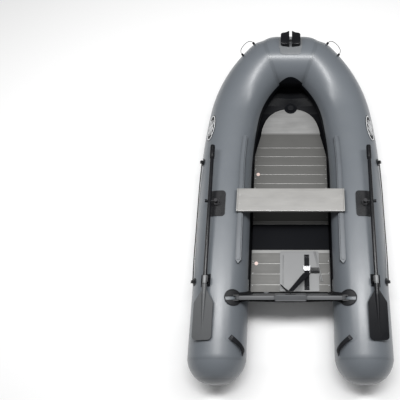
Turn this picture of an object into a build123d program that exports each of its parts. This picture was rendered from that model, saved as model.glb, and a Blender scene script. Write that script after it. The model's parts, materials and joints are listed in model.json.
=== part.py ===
from build123d import *
import os
from math import acos, asin, atan, cos, degrees, radians, sin, sqrt, tan

# Inflatable dinghy with a slatted floor, a sliding bench seat, two pinned oars and a raked transom.
# Lengths are in millimetres, angles in degrees. While a piece is modelled, Y counts forward from the
# stern ends of the side tubes, +X is starboard and Z counts up from the ground that the tubes lie on.
# save() moves the middle of the overall length to the origin. Starboard pieces are modelled, and the
# port ones are their mirror images.

# Buoyancy tubes
tube_radius = 215.0
tube_wall = 1.2
side_axis_x = 540.0
bend_start = 1616.0
easy_radius = 3240.0
easy_turn = 10.7
tight_radius = 740.0
bow_half = 170.0
bow_rise = 170.0
dome_length = 197.0
tip_round = 195.0
cap_seam = 51.0
cap_wall = 3.0
skin_gap = 0.3

# Bottom and keel
bottom_wall = 2.0
bottom_angle = 50.0
bottom_gap = 3.0
bottom_aft = 640.0
keel_rise_start = 2100.0
keel_radius = 49.0
keel_aft = 735.0
keel_taper = 2060.0
keel_tip = 2405.0
keel_clearance = 3.5

# Floor
floor_top = 125.0
slat_height = 20.0
slat_pitch = 86.8
slat_wall = 1.6
slat_gap = 0.8
floor_half = 318.0
shoulder_y = 1900.0
first_joint_y = 1990.0
first_joint_half = 299.0
bow_joint_y = 2133.0
bow_joint_half = 264.0
bow_plate_front = 2392.0
bow_plate_shoulders = [(262.0, 2140.0), (243.0, 2222.0), (204.0, 2302.0), (138.0, 2361.0)]
bow_plate_thickness = 12.0
front_floor_aft = 1265.0
rear_floor_front = 1043.0
strip_width = 27.0
joint_strip_width = 14.0
strip_proud = 1.0
channel_wall = 3.0
channel_lip = 14.0
web_thickness = 4.0

# Valves
barrel_radius = 24.0
barrel_wall = 5.0
barrel_drop = 8.0
barrel_rise = 14.0
flange_thickness = 3.0
valve_plate = 2.0
port_radius = 9.0
plunger_radius = 7.0
stem_radius = 4.0
cap_radius = 27.0
cap_thickness = 5.0
keel_flange_radius = 55.0
tube_flange_radius = 36.0
keel_valve_y = 2405.0
tube_valve_y = 1375.0
tube_valve_angle = 68.0

# Transom
transom_y = 690.0
transom_rake = 16.4
transom_thickness = 25.0
transom_top = 420.0
transom_half = 404.0
transom_foot_middle = 17.0
transom_foot_side = 69.0
transom_corner = 18.0
transom_gap = 1.0
pad_half = 117.0
pad_height = 175.0
outer_pad_thickness = 12.0
inner_pad_thickness = 8.0
pad_top_drop = 3.0
bolt_radius = 4.0
bolt_head_radius = 8.0
bolt_head_height = 4.0
bolt_recess = 0.5
bolt_side = 85.0
bolt_inset = 32.0
drain_radius = 14.0
drain_x = -190.0
drain_height = 40.0
drain_head_radius = 21.0
holder_disc_radius = 60.0
holder_disc_x = 421.0
holder_thickness = 9.0
holder_rib = 9.0
holder_rib_height = 34.0
holder_foot = 34.0
holder_bottom = 129.0

# Seat and its rails
rail_x = 395.0
rail_aft = 886.0
rail_fore = 1972.0
rail_top = 406.0
rail_head_width = 26.0
rail_head_height = 4.0
rail_web_width = 10.0
rail_base_width = 44.0
rail_base_drop = 12.0
rail_stop_length = 30.0
slide_gap = 1.0
slider_length = 110.0
slider_height = 16.0
seat_y = 1359.0
seat_depth = 193.0
seat_half = 424.0
seat_thickness = 26.0
seat_round = 9.0

# Rowlocks and oars
rowlock_x = 576.0
rowlock_y = 1330.0
rowlock_width = 132.0
rowlock_length = 213.0
rowlock_corner = 26.0
rowlock_thickness = 9.0
ridge_height = 5.0
ridge_width = 14.0
boss_radius = 25.0
boss_top = 455.0
stem_pin_radius = 9.0
stem_pin_length = 24.0
running_gap = 0.1
post_radius = 14.0
post_top = 500.0
oar_x = 626.0
oar_z = 480.0
oar_drop = 25.0
oar_pin_radius = 6.0
nut_radius = 13.0
nut_thickness = 15.0
shaft_radius = 15.0
shaft_wall = 1.6
shaft_fore = 365.0
shaft_aft = 705.0
grip_radius = 18.5
grip_length = 118.0
grip_end = 480.0
socket_radius = 19.0
socket_start = 645.0
blade_start = 690.0
blade_shoulder = 775.0
blade_end = 1040.0
blade_width = 146.0
blade_thickness = 6.0
blade_corner = 28.0
blade_tilt = 14.0
clip_y = 720.0
clip_length = 46.0
clip_patch_width = 74.0
clip_patch_length = 92.0
clip_patch_thickness = 5.0
clip_wall = 8.0
clip_rise = 12.0
clip_gap = 0.5

# Bow fairlead
bow_patch_half = 100.0
bow_patch_aft = 2668.0
bow_patch_fore = 2868.0
patch_thickness = 2.6
fairlead_half = 84.0
fairlead_aft = 2700.0
fairlead_fore = 2836.0
fairlead_top = 662.0
fairlead_round = 16.0
fairlead_slot_half = 11.0
roller_radius = 13.0
roller_half = 9.5
roller_z = 630.0
roller_pin_radius = 4.0
roller_pin_half = 40.0

# Stern handles, lifeline eyes and ropes
handle_fore_y = 318.0
handle_aft_y = 212.0
handle_fore_angle = 30.0
handle_aft_angle = 66.0
handle_width = 32.0
handle_thickness = 4.0
handle_rise = 34.0
handle_patch_radius = 34.0
eye_angle = 60.0
eye_fore_y = 1742.0
eye_aft_y = 730.0
eye_patch_radius = 30.0
eye_patch_thickness = 4.0
eye_rise = 26.0
eye_length = 20.0
eye_width = 22.0
eye_bore = 5.0
rope_radius = 4.0
bow_rope_radius = 2.5
bow_boss_radius = 10.0
bow_boss_height = 20.0
bow_boss_bore = 3.2

# Tank tray, tie-down straps and buckle
tray_port = -86.0
tray_starboard = 228.0
tray_aft = 700.0
tray_fore = 1033.0
tray_thickness = 5.0
tray_corner = 14.0
strap_x = 130.0
strap_width = 40.0
strap_thickness = 2.5
strap_aft = 712.0
strap_fore = 1002.0
buckle_y = 892.0
buckle_width = 54.0
buckle_length = 30.0
buckle_thickness = 5.0
lever_width = 44.0
lever_length = 34.0
lever_thickness = 3.0
keeper_length = 72.0
keeper_depth = 44.0
keeper_height = 16.0
stay_top = 252.0
eye_plate_half = 38.0
eye_plate_height = 34.0
eye_plate_thickness = 4.0
eye_ring_radius = 11.0
eye_ring_wire = 3.0
stay_thickness = 3.0
stay_standoff = 32.0
small_gap = 0.4

# Places worked out from the sizes above
tilt = atan(bow_rise / (side_axis_x - bow_half))
easy = radians(easy_turn)
across = (side_axis_x - bow_half) / cos(tilt)
full_turn = degrees(acos(cos(easy) - (across - easy_radius * (1 - cos(easy))) / tight_radius))
turn = radians(full_turn)
corner_y = bend_start + easy_radius * sin(easy) + tight_radius * (sin(turn) - sin(easy))
bow_axis_z = tube_radius + bow_rise
overall_length = corner_y + tube_radius
bend_plane = Plane(origin=(side_axis_x, 0, tube_radius), x_dir=(0, 1, 0), z_dir=(sin(tilt), 0, cos(tilt)))
end_direction = Vector(-sin(turn) * cos(tilt), cos(turn), sin(turn) * sin(tilt))
mitre_normal = (end_direction + Vector(-1, 0, 0)).normalized()
mitre_plane = Plane(origin=(bow_half, corner_y, bow_axis_z), z_dir=mitre_normal)
mitre_half_angle = end_direction.get_angle(Vector(-1, 0, 0)) / 2
mitre_reach = tube_radius * tan(radians(mitre_half_angle)) + 10
rake = radians(transom_rake)
transom_plane = Plane(origin=(0, transom_y, floor_top), x_dir=(1, 0, 0), z_dir=(0, -cos(rake), -sin(rake)))
board_top = (transom_top - floor_top) / cos(rake)
slat_bottom = floor_top - slat_height
keel_axis_z = slat_bottom - 2 - keel_radius
seat_bottom = rail_top + slide_gap + 5
seat_top = seat_bottom + seat_thickness
oar_slope = degrees(atan(oar_drop / (rowlock_y - clip_y)))
tray_bottom = floor_top + strip_proud + small_gap
strap_bottom = tray_bottom + tray_thickness + small_gap
strap_top = strap_bottom + strap_thickness
buckle_bottom = strap_top + small_gap
buckle_top = buckle_bottom + buckle_thickness


def save(name, solids):
    """Write one node, with the middle of the overall length moved to the origin."""
    pieces = solids if isinstance(solids, list) else [solids]
    moved = [Pos(0, -overall_length / 2, 0) * solid for piece in pieces for solid in piece.solids()]
    export_step(moved[0] if len(moved) == 1 else Compound(children=moved), f"parts/{name}.step")


def port(piece):
    """The port copy of a starboard piece."""
    return mirror(piece, about=Plane.YZ)


def both(piece):
    """A starboard piece and its port copy."""
    return [piece, port(piece)]


def block(x_from, x_to, y_from, y_to, z_from, z_to):
    """A box between two corners."""
    corner = Pos(x_from, y_from, z_from)
    return corner * Box(x_to - x_from, y_to - y_from, z_to - z_from, align=(Align.MIN,) * 3)


def rod_y(radius, y_from, y_to, x, z):
    """A cylinder along Y."""
    return Plane(origin=(x, y_from, z), z_dir=(0, 1, 0)) * extrude(Circle(radius), y_to - y_from)


def rod_x(radius, x_from, x_to, y, z):
    """A cylinder along X."""
    return Plane(origin=(x_from, y, z), z_dir=(1, 0, 0)) * extrude(Circle(radius), x_to - x_from)


def rod_z(radius, z_from, z_to, x, y):
    """A cylinder along Z."""
    return Pos(x, y, z_from) * extrude(Circle(radius), z_to - z_from)


def side_rod(radius, y_from, y_to):
    """A cylinder about the axis of the starboard side tube."""
    return rod_y(radius, y_from, y_to, side_axis_x, tube_radius)


def side_sleeve(inner, outer, y_from, y_to):
    """A sleeve about the axis of the starboard side tube."""
    return side_rod(outer, y_from, y_to) - side_rod(inner, y_from - 1, y_to + 1)


def side_plane(y, angle, distance):
    """A plane that faces out of the side tube, at an angle inboard of its top."""
    out = Vector(-sin(radians(angle)), 0, cos(radians(angle)))
    origin = Vector(side_axis_x, y, tube_radius) + out * distance
    return Plane(origin=origin, x_dir=(0, 1, 0), z_dir=out)


def tube_height(x):
    """Height of the side tube's surface at a distance from the centre line."""
    return tube_radius + sqrt(tube_radius**2 - (x - side_axis_x) ** 2)


def bend_path(y_from, turned, reach=0):
    """The axis of the side tube from Y = y_from, through the bend, to a straight run of a length."""
    edges = []
    if y_from < bend_start:
        edges.append(Line((y_from, 0), (bend_start, 0)))
    edges.append(JernArc((bend_start, 0), (1, 0), easy_radius, min(turned, easy_turn)))
    if turned > easy_turn:
        edges.append(JernArc(edges[-1] @ 1, edges[-1] % 1, tight_radius, turned - easy_turn))
    if reach:
        edges.append(Line(edges[-1] @ 1, edges[-1] @ 1 + (edges[-1] % 1) * reach))
    return Wire(edges).moved(bend_plane.location)


def bent_rod(radius):
    """A solid rod along the bend of the starboard tube, past its mitre."""
    start = Plane(origin=(side_axis_x, bend_start, tube_radius), z_dir=(0, 1, 0))
    return sweep(start * Circle(radius), path=bend_path(bend_start, full_turn, mitre_reach))


def mitre_block(side):
    """A block that ends on the starboard mitre plane, on the bow's side (1) or the stern's side (-1)."""
    size = 3 * tube_radius
    return mitre_plane * Pos(0, 0, side * size / 2) * Box(size, size, size)


def bow_rod(radius):
    """A rod along the transverse bow tube, between its two mitres."""
    length = bow_half + mitre_reach
    rod = rod_x(radius, -length, length, corner_y, bow_axis_z)
    return rod - mitre_block(-1) - port(mitre_block(-1))


def stern_tip(offset):
    """The rounded stern end of the starboard tube, smaller all round by an offset."""
    rod = side_rod(tube_radius - offset, offset, dome_length)
    return fillet(rod.edges().group_by(Axis.Y)[0], tip_round - offset)


def tip_shell(wall, y_from, y_to):
    """The skin of the rounded stern end between two places, with a wall thickness."""
    return (stern_tip(0) - stern_tip(wall)) & side_rod(tube_radius + 1, y_from, y_to)


# --- Tubes ---------------------------------------------------------------------------------------


def valve_hole():
    """The hole that a side tube has for its valve."""
    return side_plane(tube_valve_y, tube_valve_angle, tube_radius) * Cylinder(barrel_radius + 0.5, 40)


def side_tube():
    """The straight skin of the starboard tube, with its valve hole."""
    return side_sleeve(tube_radius - tube_wall, tube_radius, dome_length, bend_start) - valve_hole()


def bow_bend():
    """The bent skin of the starboard tube, up to the mitre."""
    return bent_rod(tube_radius) - bent_rod(tube_radius - tube_wall) - mitre_block(1)


def bow_tube():
    """The transverse skin of the bow."""
    return bow_rod(tube_radius) - bow_rod(tube_radius - tube_wall)


def bow_baffle():
    """The wall inside the bow tube that parts the port chamber from the starboard one."""
    return rod_x(tube_radius - tube_wall - skin_gap, -tube_wall, tube_wall, corner_y, bow_axis_z)


def stern_cone():
    """The fabric skin that closes in the stern end of a side tube."""
    return tip_shell(tube_wall, cap_seam, dome_length)


def stern_cap():
    """The moulded cap on the tip of a stern cone."""
    return tip_shell(cap_wall, -1, cap_seam)


def bend_point(turned, angle, reach):
    """A point round the bent tube's axis, at an angle from inboard over the top, after a turn."""
    first = min(radians(turned), easy)
    along = radians(turned)
    inboard = reach * cos(radians(angle))
    forward = easy_radius * sin(first) + tight_radius * (sin(along) - sin(first)) - inboard * sin(along)
    inward = easy_radius * (1 - cos(first)) + tight_radius * (cos(first) - cos(along))
    inward += inboard * cos(along)
    rise = reach * sin(radians(angle))
    return bend_plane.from_local_coords(Vector(bend_start + forward, inward, rise))


def edge_point(turned):
    """A point of the bottom fabric's seam under the starboard tube, after a turn."""
    return bend_point(turned, -bottom_angle - degrees(tilt), tube_radius + bottom_gap)


def last_seam_turn():
    """The turn at which the seam reaches the mitre, found by halving."""
    low, high = easy_turn, full_turn
    for _ in range(40):
        middle = (low + high) / 2
        if (mitre_plane.origin - edge_point(middle)).dot(mitre_normal) > 0:
            low = middle
        else:
            high = middle
    return low


seam_turn = last_seam_turn()
seam_end = edge_point(seam_turn)


def keel_height(y):
    """Height of the bottom fabric on the centre line."""
    share = max(0, (y - keel_rise_start) / (seam_end.Y - keel_rise_start))
    return seam_end.Z * share**2


def bottom_section(y, x, z):
    """The V-shaped section of the bottom fabric at one place along the boat."""
    keel = keel_height(y)
    low = [(-x, z), (0, keel), (x, z)]
    high = [(side, height + bottom_wall) for side, height in reversed(low)]
    return Plane.XZ.offset(-y) * make_face(Polyline(*low, *high, close=True))


def hull_bottom():
    """The bottom fabric, from the transom to the bow, between the seams on the two tubes."""
    straight = edge_point(0)
    places = [Vector(straight.X, bottom_aft, straight.Z)]
    places += [edge_point(turned) for turned in (0, 4, 8, easy_turn)]
    steps = 6
    places += [edge_point(easy_turn + (seam_turn - easy_turn) * i / steps) for i in range(1, steps + 1)]
    return loft([bottom_section(place.Y, place.X, place.Z) for place in places], ruled=True)


def keel_section(y, radius, top):
    """A round section of the inflated keel, hung from the height of its top."""
    return Plane(origin=(0, y, top - radius), z_dir=(0, 1, 0)) * Circle(radius)


def keel_body(shrink):
    """The keel's shape, made smaller all round by a wall."""
    top = keel_axis_z + keel_radius
    middle = (keel_taper + keel_tip) / 2
    places = [(keel_aft, keel_radius), (keel_taper, keel_radius)]
    for y in (middle, keel_tip):
        places.append((y, (top - keel_height(y) - bottom_wall) / 2 - keel_clearance))
    sections = [keel_section(y, radius - shrink, top - shrink) for y, radius in places]
    return loft(sections, ruled=True)


def keel_tube():
    """The inflated keel under the floor, closed at both ends."""
    room = block(-keel_radius, keel_radius, keel_aft + tube_wall, keel_tip - tube_wall, 0, floor_top)
    inner = keel_body(tube_wall) & room
    return keel_body(0) - inner


# --- Floor ---------------------------------------------------------------------------------------


def floor_outline(inset=0):
    """The prism that the slats' ends follow, narrower towards the bow."""
    half = [(floor_half, 0), (floor_half, shoulder_y), (first_joint_half, first_joint_y)]
    half.append((bow_joint_half, bow_joint_y))
    right = [(x - inset, y) for x, y in half]
    left = [(-x, y) for x, y in reversed(right)]
    return extrude(make_face(Polyline(*right, *left, close=True)), floor_top + 50)


def slat(y_from, y_to):
    """One hollow floor slat with a rib down the middle of its section."""
    low, high = y_from + slat_gap / 2, y_to - slat_gap / 2
    body = block(-floor_half, floor_half, low, high, slat_bottom, floor_top) & floor_outline(channel_wall)
    middle = (low + high) / 2
    inner_low, inner_high = slat_bottom + slat_wall, floor_top - slat_wall
    for cell in ((low + slat_wall, middle - slat_wall / 2), (middle + slat_wall / 2, high - slat_wall)):
        body -= block(-floor_half, floor_half, cell[0], cell[1], inner_low, inner_high)
    return body


def front_slats():
    """The wide first slat and the equal ones behind it."""
    slats = [slat(first_joint_y, bow_joint_y - joint_strip_width / 2)]
    aft_end = front_floor_aft + strip_width
    count = round((first_joint_y - aft_end) / slat_pitch)
    pitch = (first_joint_y - aft_end) / count
    return slats + [slat(aft_end + i * pitch, aft_end + (i + 1) * pitch) for i in range(count)]


def rear_slats():
    """The slats of the rear floor, from its front strip to the transom."""
    front = rear_floor_front - strip_width
    count = int((front - transom_y - 4) / slat_pitch)
    slats = [slat(front - (i + 1) * slat_pitch, front - i * slat_pitch) for i in range(count)]
    return slats + [slat(transom_y + slat_height * tan(rake) + 2, front - count * slat_pitch)]


def floor_strips():
    """The cross strips: at the bow plate's joint, and where the two floors end."""
    spans = [(bow_joint_y - joint_strip_width / 2, bow_joint_y + joint_strip_width / 2, bow_joint_half)]
    spans.append((front_floor_aft, front_floor_aft + strip_width, floor_half - channel_wall))
    spans.append((rear_floor_front - strip_width, rear_floor_front, floor_half - channel_wall))
    top = floor_top + strip_proud
    strips = []
    for low, high, half in spans:
        bar = block(-half, half, low + slat_gap / 2, high - slat_gap / 2, slat_bottom, top)
        strips.append(bar - block(-half, half, low + 3, high - 3, slat_bottom + 3, floor_top - 3))
    return strips


def floor_channels():
    """The channels that hold the slats' ends, on each side of each floor."""
    channels = []
    for low, high in ((front_floor_aft, shoulder_y), (transom_y + 14, rear_floor_front)):
        web_from = floor_half - channel_wall + small_gap
        outer = floor_half + channel_wall
        lip_top = slat_bottom - small_gap
        channel = block(web_from - channel_lip, outer, low, high, slat_bottom - 3, lip_top)
        channel += block(web_from, outer, low, high, slat_bottom - 3, floor_top)
        channels += both(channel)
    return channels


def floor_web():
    """The black fabric web that hinges the rear floor to the front one."""
    half = floor_half - channel_wall
    middle = (slat_bottom + floor_top) / 2
    return block(-half, half, rear_floor_front, front_floor_aft, middle, middle + web_thickness)


def bow_plate():
    """The flat arched board at the bow, with a notch round the keel valve."""
    right = [Vector(x, y) for x, y in bow_plate_shoulders]
    left = [Vector(-point.X, point.Y) for point in reversed(right)]
    arch = Spline(*right, Vector(0, bow_plate_front), *left)
    plate = extrude(make_face([arch, Line(arch @ 1, arch @ 0)]), bow_plate_thickness)
    plate = Pos(0, 0, floor_top - bow_plate_thickness) * plate
    return plate - rod_z(keel_flange_radius + 4, slat_bottom, floor_top + 1, 0, keel_valve_y)


# --- Valves --------------------------------------------------------------------------------------


def valve_body(flange_radius):
    """A valve body: a flange, and a barrel with a bored plate across it."""
    bore = barrel_radius - barrel_wall
    body = rod_z(flange_radius, 0, flange_thickness, 0, 0)
    body += rod_z(barrel_radius, -barrel_drop, barrel_rise, 0, 0)
    body -= rod_z(bore, valve_plate, barrel_rise + 1, 0, 0)
    body -= rod_z(bore, -barrel_drop - 1, 0, 0, 0)
    return body - rod_z(port_radius, -1, valve_plate + 1, 0, 0)


def valve_plunger():
    """The spring plunger: a button above the plate, a stem through it and the seal disc below."""
    disc = rod_z(port_radius + 5, -4, -2, 0, 0)
    stem = rod_z(stem_radius, -3, 7, 0, 0)
    return disc + stem + rod_z(plunger_radius, 6, 8, 0, 0)


def valve_cap():
    """The screw cap: a plate with a finger bar, and a skirt inside the barrel."""
    bottom = barrel_rise + small_gap
    top = bottom + cap_thickness
    skirt = barrel_radius - barrel_wall - small_gap
    cap = rod_z(cap_radius, bottom, top, 0, 0)
    cap += block(-cap_radius + 5, cap_radius - 5, -3, 3, top, top + 4)
    cap += rod_z(skirt, bottom - 4, bottom, 0, 0) - rod_z(skirt - 3, bottom - 5, bottom, 0, 0)
    return cap


def tube_valve_place():
    """The seat of the starboard tube's valve, on the inboard flank."""
    return side_plane(tube_valve_y, tube_valve_angle, tube_radius + skin_gap).location


def tube_valve_body():
    """The tube valve's body, with a saddle under its flange that fits the tube."""
    body = valve_body(tube_flange_radius)
    saddle = rod_z(tube_flange_radius, -4, 0, 0, 0) - rod_z(barrel_radius, -5, 1, 0, 0)
    body = tube_valve_place() * (body + saddle)
    flange = side_sleeve(tube_radius - 60, tube_radius + skin_gap, tube_valve_y - 60, tube_valve_y + 60)
    keep = tube_valve_place() * rod_z(barrel_radius, -60, 60, 0, 0)
    return body - (flange - keep)


def keel_valve_place():
    """The seat of the keel valve, above the tip of the keel."""
    return Location((0, keel_valve_y, slat_bottom + barrel_drop - 1))


# --- Transom -------------------------------------------------------------------------------------


def bolt_places():
    """The four bolt places on the motor pads, in the transom's plane."""
    low = board_top - pad_top_drop - pad_height + bolt_inset
    high = board_top - pad_top_drop - bolt_inset
    return [(x, y) for x in (-bolt_side, bolt_side) for y in (low, high)]


def through_transom(radius, x, y, low=-60, high=80):
    """A rod square to the transom."""
    return transom_plane * rod_z(radius, low, high, x, y)


def transom():
    """The transom board between the tubes, with its drain bore and the bolt holes."""
    depth = (floor_top - transom_foot_middle) / cos(rake)
    shallow = (floor_top - transom_foot_side) / cos(rake)
    outline = [(-transom_half, -shallow), (0, -depth), (transom_half, -shallow)]
    outline += [(transom_half, board_top), (-transom_half, board_top)]
    face = make_face(Polyline(*outline, close=True))
    face = fillet(face.vertices().sort_by(Axis.Y)[-2:], transom_corner)
    board = transom_plane * extrude(face, transom_thickness)
    tube = side_rod(tube_radius + transom_gap, transom_y - 300, transom_y + 300)
    board = board - tube - port(tube)
    for x, y in bolt_places():
        board -= through_transom(bolt_radius + 0.2, x, y)
    return board - through_transom(drain_radius, drain_x, drain_height)


def motor_pads():
    """The outer and inner pads that an outboard's clamps grip."""
    middle = board_top - pad_top_drop - pad_height / 2
    face = Pos(0, middle) * RectangleRounded(2 * pad_half, pad_height, 14)
    outer = transom_plane * Pos(0, 0, transom_thickness) * extrude(face, outer_pad_thickness)
    inner = transom_plane * extrude(face, -inner_pad_thickness)
    depth = bolt_recess + bolt_head_height + 0.1
    face_out = transom_thickness + outer_pad_thickness
    nut_seat = depth - inner_pad_thickness
    for x, y in bolt_places():
        outer -= through_transom(bolt_radius + 0.2, x, y)
        outer -= through_transom(bolt_head_radius + 0.5, x, y, face_out - depth, face_out + 1)
        inner -= through_transom(bolt_radius + 0.2, x, y)
        inner -= through_transom(bolt_head_radius + 0.5, x, y, -inner_pad_thickness - 1, nut_seat)
    return [outer, inner]


def pad_bolts():
    """The bolts through both pads and the board, with head and nut sunk into the pads."""
    low = bolt_recess - inner_pad_thickness
    high = transom_thickness + outer_pad_thickness - bolt_recess
    bolts = []
    for x, y in bolt_places():
        bolt = rod_z(bolt_radius, low, high, x, y)
        bolt += rod_z(bolt_head_radius, low, low + bolt_head_height, x, y)
        bolt += rod_z(bolt_head_radius, high - bolt_head_height, high, x, y)
        bolts.append(transom_plane * bolt)
    return bolts


def drain_plug():
    """The drain plug, with its head and finger bar on the inboard face."""
    plug = rod_z(drain_radius - running_gap, -0.5, transom_thickness, drain_x, drain_height)
    plug += rod_z(drain_head_radius, -5.5, -0.5, drain_x, drain_height)
    bar = block(-drain_head_radius + 4, drain_head_radius - 4, -3, 3, -11, -5)
    return transom_plane * (plug + Pos(drain_x, drain_height) * bar)


def transom_holder():
    """A rubber holder that ties the transom to the tube: a disc, a foot and two ribs."""
    inner = tube_radius + skin_gap
    near = transom_y - 200
    far = transom_y + 120
    skin = side_sleeve(inner, inner + holder_thickness, near, far)
    disc_y = transom_y - (tube_height(holder_disc_x) - floor_top) * tan(rake) - transom_thickness / 2
    disc = rod_z(holder_disc_radius, tube_radius, transom_top + 60, holder_disc_x, disc_y)
    middle = transom_thickness / 2
    foot_half = holder_foot
    foot = Pos(side_axis_x / 2, 0, middle) * Box(side_axis_x, 3 * board_top, 2 * foot_half)
    lower = block(0, holder_disc_x + 10, near, far, holder_bottom, transom_top + 60)
    body = skin & (disc + (transom_plane * foot & lower))
    ribs = side_sleeve(inner, inner + holder_rib_height, near, far)
    slab = transom_thickness / 2 + small_gap + holder_rib
    band = transom_plane * Pos(side_axis_x / 2, 0, middle) * Box(side_axis_x, 3 * board_top, 2 * slab)
    top = block(0, holder_disc_x, near, far, holder_bottom, transom_top - 14)
    body += ribs & band & top
    gap = transom_thickness + 2 * small_gap
    return body - transom_plane * Pos(0, 0, middle) * Box(4 * transom_half, 3 * board_top, gap)


# --- Seat ----------------------------------------------------------------------------------------


def rail_section():
    """The section of a seat rail: a base that fits the tube, a web and a head."""
    base_top = rail_top - rail_base_drop
    base_low = tube_height(rail_x - rail_base_width / 2)
    base = Pos(rail_x, (base_top + base_low) / 2) * Rectangle(rail_base_width, base_top - base_low)
    web = Pos(rail_x, rail_top - rail_base_drop / 2 - 1) * Rectangle(rail_web_width, rail_base_drop)
    head = Pos(rail_x, rail_top - rail_head_height / 2) * Rectangle(rail_head_width, rail_head_height)
    return base + web + head - Pos(side_axis_x, tube_radius) * Circle(tube_radius + skin_gap)


def seat_rail():
    """A T rail that is glued to the tube and follows its bend, with an arrow-shaped stop aft."""
    turned = degrees(asin((rail_fore - bend_start) / easy_radius))
    start = Plane.XZ.offset(-rail_aft)
    rail = sweep(start * rail_section(), path=bend_path(rail_aft, turned))
    half = rail_base_width / 2
    tip = rail_aft - rail_stop_length
    arrow = make_face(Polyline((-half, rail_aft), (half, rail_aft), (0, tip), close=True))
    base_top = rail_top - rail_base_drop
    stop = Pos(rail_x, 0, tube_radius) * extrude(arrow, base_top + 6 - tube_radius)
    return rail + (stop - side_rod(tube_radius + skin_gap, tip - 10, rail_aft + 10))


def seat_slider():
    """The block under the seat that slides along a rail's head."""
    bottom = rail_top - rail_base_drop + 1.5
    half = rail_base_width / 2 - 2
    low, high = seat_y - slider_length / 2, seat_y + slider_length / 2
    slider = block(rail_x - half, rail_x + half, low, high, bottom, seat_bottom)
    head = rail_head_width / 2 + slide_gap
    head_low = rail_top - rail_head_height - slide_gap
    slider -= block(rail_x - head, rail_x + head, low - 1, high + 1, head_low, rail_top + slide_gap)
    web = rail_web_width / 2 + slide_gap
    return slider - block(rail_x - web, rail_x + web, low - 1, high + 1, bottom - 1, rail_top)


def bench_seat():
    """The bench seat, a plank with rounded long edges."""
    low, high = seat_y - seat_depth / 2, seat_y + seat_depth / 2
    plank = block(-seat_half, seat_half, low, high, seat_bottom, seat_top)
    plank = fillet(plank.edges().filter_by(Axis.X), seat_round)
    return plank


# --- Rowlocks and oars ---------------------------------------------------------------------------


def rowlock_base():
    """A rowlock base that fits the tube, with crossed ridges and a bored boss."""
    near, far = rowlock_y - rowlock_length, rowlock_y + rowlock_length
    pad_face = RectangleRounded(rowlock_width, rowlock_length, rowlock_corner)
    pad_prism = Pos(rowlock_x, rowlock_y, tube_radius) * extrude(pad_face, 2 * tube_radius)
    inner = tube_radius + skin_gap
    base = side_sleeve(inner, inner + rowlock_thickness, near, far) & pad_prism
    lean = degrees(atan(rowlock_width / rowlock_length)) * 0.8
    bar = Rectangle(ridge_width, 0.9 * rowlock_length)
    cross = Rot(0, 0, lean) * bar + Rot(0, 0, -lean) * bar
    cross_prism = Pos(rowlock_x, rowlock_y, tube_radius) * extrude(cross, 2 * tube_radius)
    ridges = side_sleeve(inner, inner + rowlock_thickness + ridge_height, near, far)
    ridges = ridges & cross_prism & pad_prism
    boss = rod_z(boss_radius, tube_radius, boss_top, rowlock_x, rowlock_y)
    boss -= side_rod(inner, near, far)
    base = base + ridges + boss
    bore_from = boss_top - stem_pin_length - 1
    return base - rod_z(stem_pin_radius + running_gap, bore_from, boss_top + 1, rowlock_x, rowlock_y)


def rowlock():
    """The rowlock that swivels in the boss: a stem, a post and the oar's pin."""
    swivel = rod_z(stem_pin_radius, boss_top - stem_pin_length, boss_top + 2, rowlock_x, rowlock_y)
    swivel += rod_z(boss_radius - 4, boss_top + small_gap, boss_top + 6, rowlock_x, rowlock_y)
    swivel += rod_z(post_radius, boss_top + 5, post_top, rowlock_x, rowlock_y)
    pin_end = oar_x + shaft_radius + 4 + nut_thickness
    return swivel + rod_x(oar_pin_radius, rowlock_x, pin_end, rowlock_y, oar_z)


def rowlock_nut():
    """The knob that keeps the oar on its pin."""
    start = oar_x + shaft_radius + 4
    end = start + nut_thickness
    bore = rod_x(oar_pin_radius + running_gap, start - 1, end + 1, rowlock_y, oar_z)
    return rod_x(nut_radius, start, end, rowlock_y, oar_z) - bore


def oar_place():
    """The starboard oar's place: its pin at the origin, its blade aft and a little lower."""
    return Pos(oar_x, rowlock_y, oar_z) * Rot(oar_slope, 0, 0)


def oar_shaft():
    """The oar's hollow shaft, with the hole for its pin."""
    shaft = rod_y(shaft_radius, -shaft_aft, shaft_fore, 0, 0)
    shaft -= rod_y(shaft_radius - shaft_wall, -shaft_aft - 1, shaft_fore + 1, 0, 0)
    hole = rod_x(oar_pin_radius + running_gap, -shaft_radius - 1, shaft_radius + 1, 0, 0)
    return oar_place() * (shaft - Rot(-oar_slope, 0, 0) * hole)


def oar_grip():
    """The closed rubber grip over the shaft's fore end."""
    start = grip_end - grip_length
    grip = rod_y(grip_radius, start, grip_end, 0, 0)
    grip = fillet(grip.edges().group_by(Axis.Y)[-1], 10)
    return oar_place() * (grip - rod_y(shaft_radius + running_gap, start - 1, shaft_fore + 0.5, 0, 0))


def oar_blade():
    """The moulded blade, with a socket for the shaft and a ridge that tapers to its end."""
    half = blade_width / 2
    right = [(socket_radius, -blade_start), (half, -blade_shoulder), (half, -blade_end)]
    left = [(-x, y) for x, y in reversed(right)]
    face = make_face(Polyline(*right, *left, close=True))
    face = fillet(face.vertices().sort_by(Axis.Y)[:4], blade_corner)
    plate = Pos(0, 0, -blade_thickness / 2) * extrude(face, blade_thickness)
    socket = rod_y(socket_radius, -shaft_aft - 15, -socket_start, 0, 0)
    nose = Plane(origin=(0, -shaft_aft - 14, 0), z_dir=(0, -1, 0)) * Circle(socket_radius)
    tip = Plane(origin=(0, -blade_end + 40, 0), z_dir=(0, -1, 0)) * Circle(blade_thickness / 2 + 0.5)
    blade = plate + socket + loft([nose, tip])
    blade -= rod_y(shaft_radius + running_gap, -shaft_aft - 1, -socket_start + 1, 0, 0)
    return oar_place() * Rot(0, blade_tilt, 0) * blade


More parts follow.
